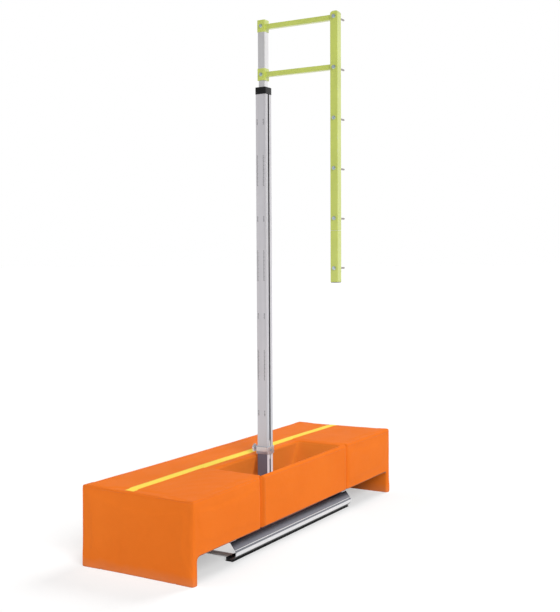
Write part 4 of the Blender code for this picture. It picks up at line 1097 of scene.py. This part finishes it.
def make_rail_beads():
    """A rolled bead along each rail's slope: a low arch drawn out over the rail's length."""
    bm = bmesh.new()
    for rail, way in (("pit_side_rail", 1), ("outer_side_rail", -1)):
        low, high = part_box(rail)
        side = high.x if way > 0 else low.x
        down = Vector((way * RAIL_SLOPE[0], 0, RAIL_SLOPE[2]))
        out = Vector((-way * RAIL_SLOPE[2], 0, RAIL_SLOPE[0]))
        middle = Vector((side - way * RAIL_BEAD_IN, low.y + 0.0005, RAIL_BEAD_Z))
        wide, tall = down * RAIL_BEAD_HALF, out * RAIL_BEAD_HEIGHT
        arch = [middle + wide * math.cos(a) + tall * math.sin(a) for a in ARCH_ANGLES]
        foot = [arch[-1] - out * RAIL_BEAD_SUNK, arch[0] - out * RAIL_BEAD_SUNK]
        face = bm.faces.new([bm.verts.new(point) for point in arch + foot])
        drawn = bmesh.ops.extrude_face_region(bm, geom=[face])["geom"]
        moved = [item for item in drawn if isinstance(item, bmesh.types.BMVert)]
        bmesh.ops.translate(bm, verts=moved, vec=(0, high.y - low.y - 0.001, 0))
    finished("rail_beads", bm, "rail", "base")


def make_print():
    """Plain height numbers and ruler ticks on the upright's front face, read from the ground up."""
    face = MAST_Y - UPRIGHT / 2 - PRINT_DEPTH
    bm = bmesh.new()
    for column in PRINT_COLUMNS:
        x = MAST_X + column
        for z, words in NUMBERS_Z:
            curve = bpy.data.curves.new("numbers", "FONT")
            curve.body = words
            curve.size = PRINT_SIZE
            curve.extrude = PRINT_DEPTH
            curve.offset = 0.00022
            curve.resolution_u = 3
            curve.align_x = curve.align_y = "CENTER"
            mesh = as_mesh(placed("numbers", curve))
            mesh.transform(Matrix.Translation((x, face, z)) @ READ_UPWARDS)
            bm.from_mesh(mesh)
        for middle in RULERS_Z:
            count = round(RULER_LENGTH / RULER_STEP)
            for i in range(count + 1):
                width = PRINT_SIZE * (1.0 if i % 5 == 0 else SHORT_TICK)
                left = x - PRINT_SIZE / 2
                size = Matrix.Diagonal((width, 2 * PRINT_DEPTH, TICK, 1))
                z = middle + (i - count / 2) * RULER_STEP
                place = Matrix.Translation((left + width / 2, face, z))
                bmesh.ops.create_cube(bm, size=1, matrix=place @ size)
    finished("upright_print", bm, "ink", "carriage")


# ---------------------------------------------------------------- studio


def make_floor():
    """A pale floor that shows as white and keeps a soft shadow."""
    material = bpy.data.materials.new("studio_floor")
    material.use_nodes = True
    tree = material.node_tree
    tree.nodes.clear()
    rays = add(tree, "LightPath").outputs
    seen = maths(tree, "MAXIMUM", rays["Is Camera Ray"], rays["Is Glossy Ray"])
    plain = add(tree, "BsdfDiffuse", {"Color": (0.80, 0.80, 0.80, 1)})
    soft = add(tree, "BsdfDiffuse", {"Color": (0.58, 0.58, 0.58, 1)})
    glow = add(tree, "Emission", {"Color": (1, 1, 1, 1), "Strength": 0.42})
    shown = add(tree, "AddShader", {0: soft.outputs[0], 1: glow.outputs[0]})
    mix = add(tree, "MixShader", {0: seen, 1: plain.outputs[0], 2: shown.outputs[0]})
    add(tree, "OutputMaterial", {"Surface": mix.outputs[0]})
    bm = bmesh.new()
    bmesh.ops.create_circle(bm, cap_ends=True, segments=64, radius=200)
    mesh = mesh_from("studio_floor", bm)
    mesh.materials.append(material)
    floor = placed("studio_floor", mesh)
    floor.location.z = -0.0005


def make_room():
    """An even pale room; what shines in the object is brighter behind it and darker overhead."""
    world = bpy.data.worlds.new("studio")
    bpy.context.scene.world = world
    world.use_nodes = True
    tree = world.node_tree
    tree.nodes.clear()
    way = add(tree, "TexCoord").outputs["Generated"]
    feeds = {0: way, 1: ROOM_BRIGHT_SIDE}
    across = add(tree, "VectorMath", feeds, operation="DOT_PRODUCT").outputs["Value"]
    above = add(tree, "SeparateXYZ", {0: way}).outputs["Z"]
    level = scaled(tree, across, ROOM_LOW, ROOM_HIGH, -1, 1)
    shine = maths(tree, "MULTIPLY", level, scaled(tree, above, 1, ROOM_OVERHEAD, 0.25, 0.65))
    rays = add(tree, "LightPath").outputs
    even = add(tree, "Background", {"Color": (1, 1, 1, 1), "Strength": ROOM_LIGHT})
    shown = add(tree, "Background", {"Color": (1, 1, 1, 1), "Strength": shine})
    white = add(tree, "Background", {"Color": (1, 1, 1, 1), "Strength": 1.0})
    mix = add(tree, "MixShader", {0: rays["Is Glossy Ray"], 1: even.outputs[0], 2: shown.outputs[0]})
    seen = maths(tree, "MAXIMUM", rays["Is Camera Ray"], rays["Is Transmission Ray"])
    mix = add(tree, "MixShader", {0: seen, 1: mix.outputs[0], 2: white.outputs[0]})
    add(tree, "OutputWorld", {"Surface": mix.outputs[0]})


def make_lamps():
    """Three wide soft lamps: behind the object, before it on the pit's side, and on its outer side."""
    for name, way, spread, strength in LAMPS:
        lamp = bpy.data.lights.new(name, "SUN")
        lamp.angle = math.radians(spread)
        lamp.energy = strength
        holder = placed(name, lamp)
        holder.matrix_world = Vector(way).to_track_quat("Z", "Y").to_matrix().to_4x4()
        holder.visible_glossy = False


bpy.context.scene.view_settings.view_transform = "Standard"
make_camera()
dress_hard_parts()
make_pad()
make_flap()
make_closure()
make_welds()
make_rivets()
make_rail_beads()
make_print()
make_floor()
make_room()
make_lamps()
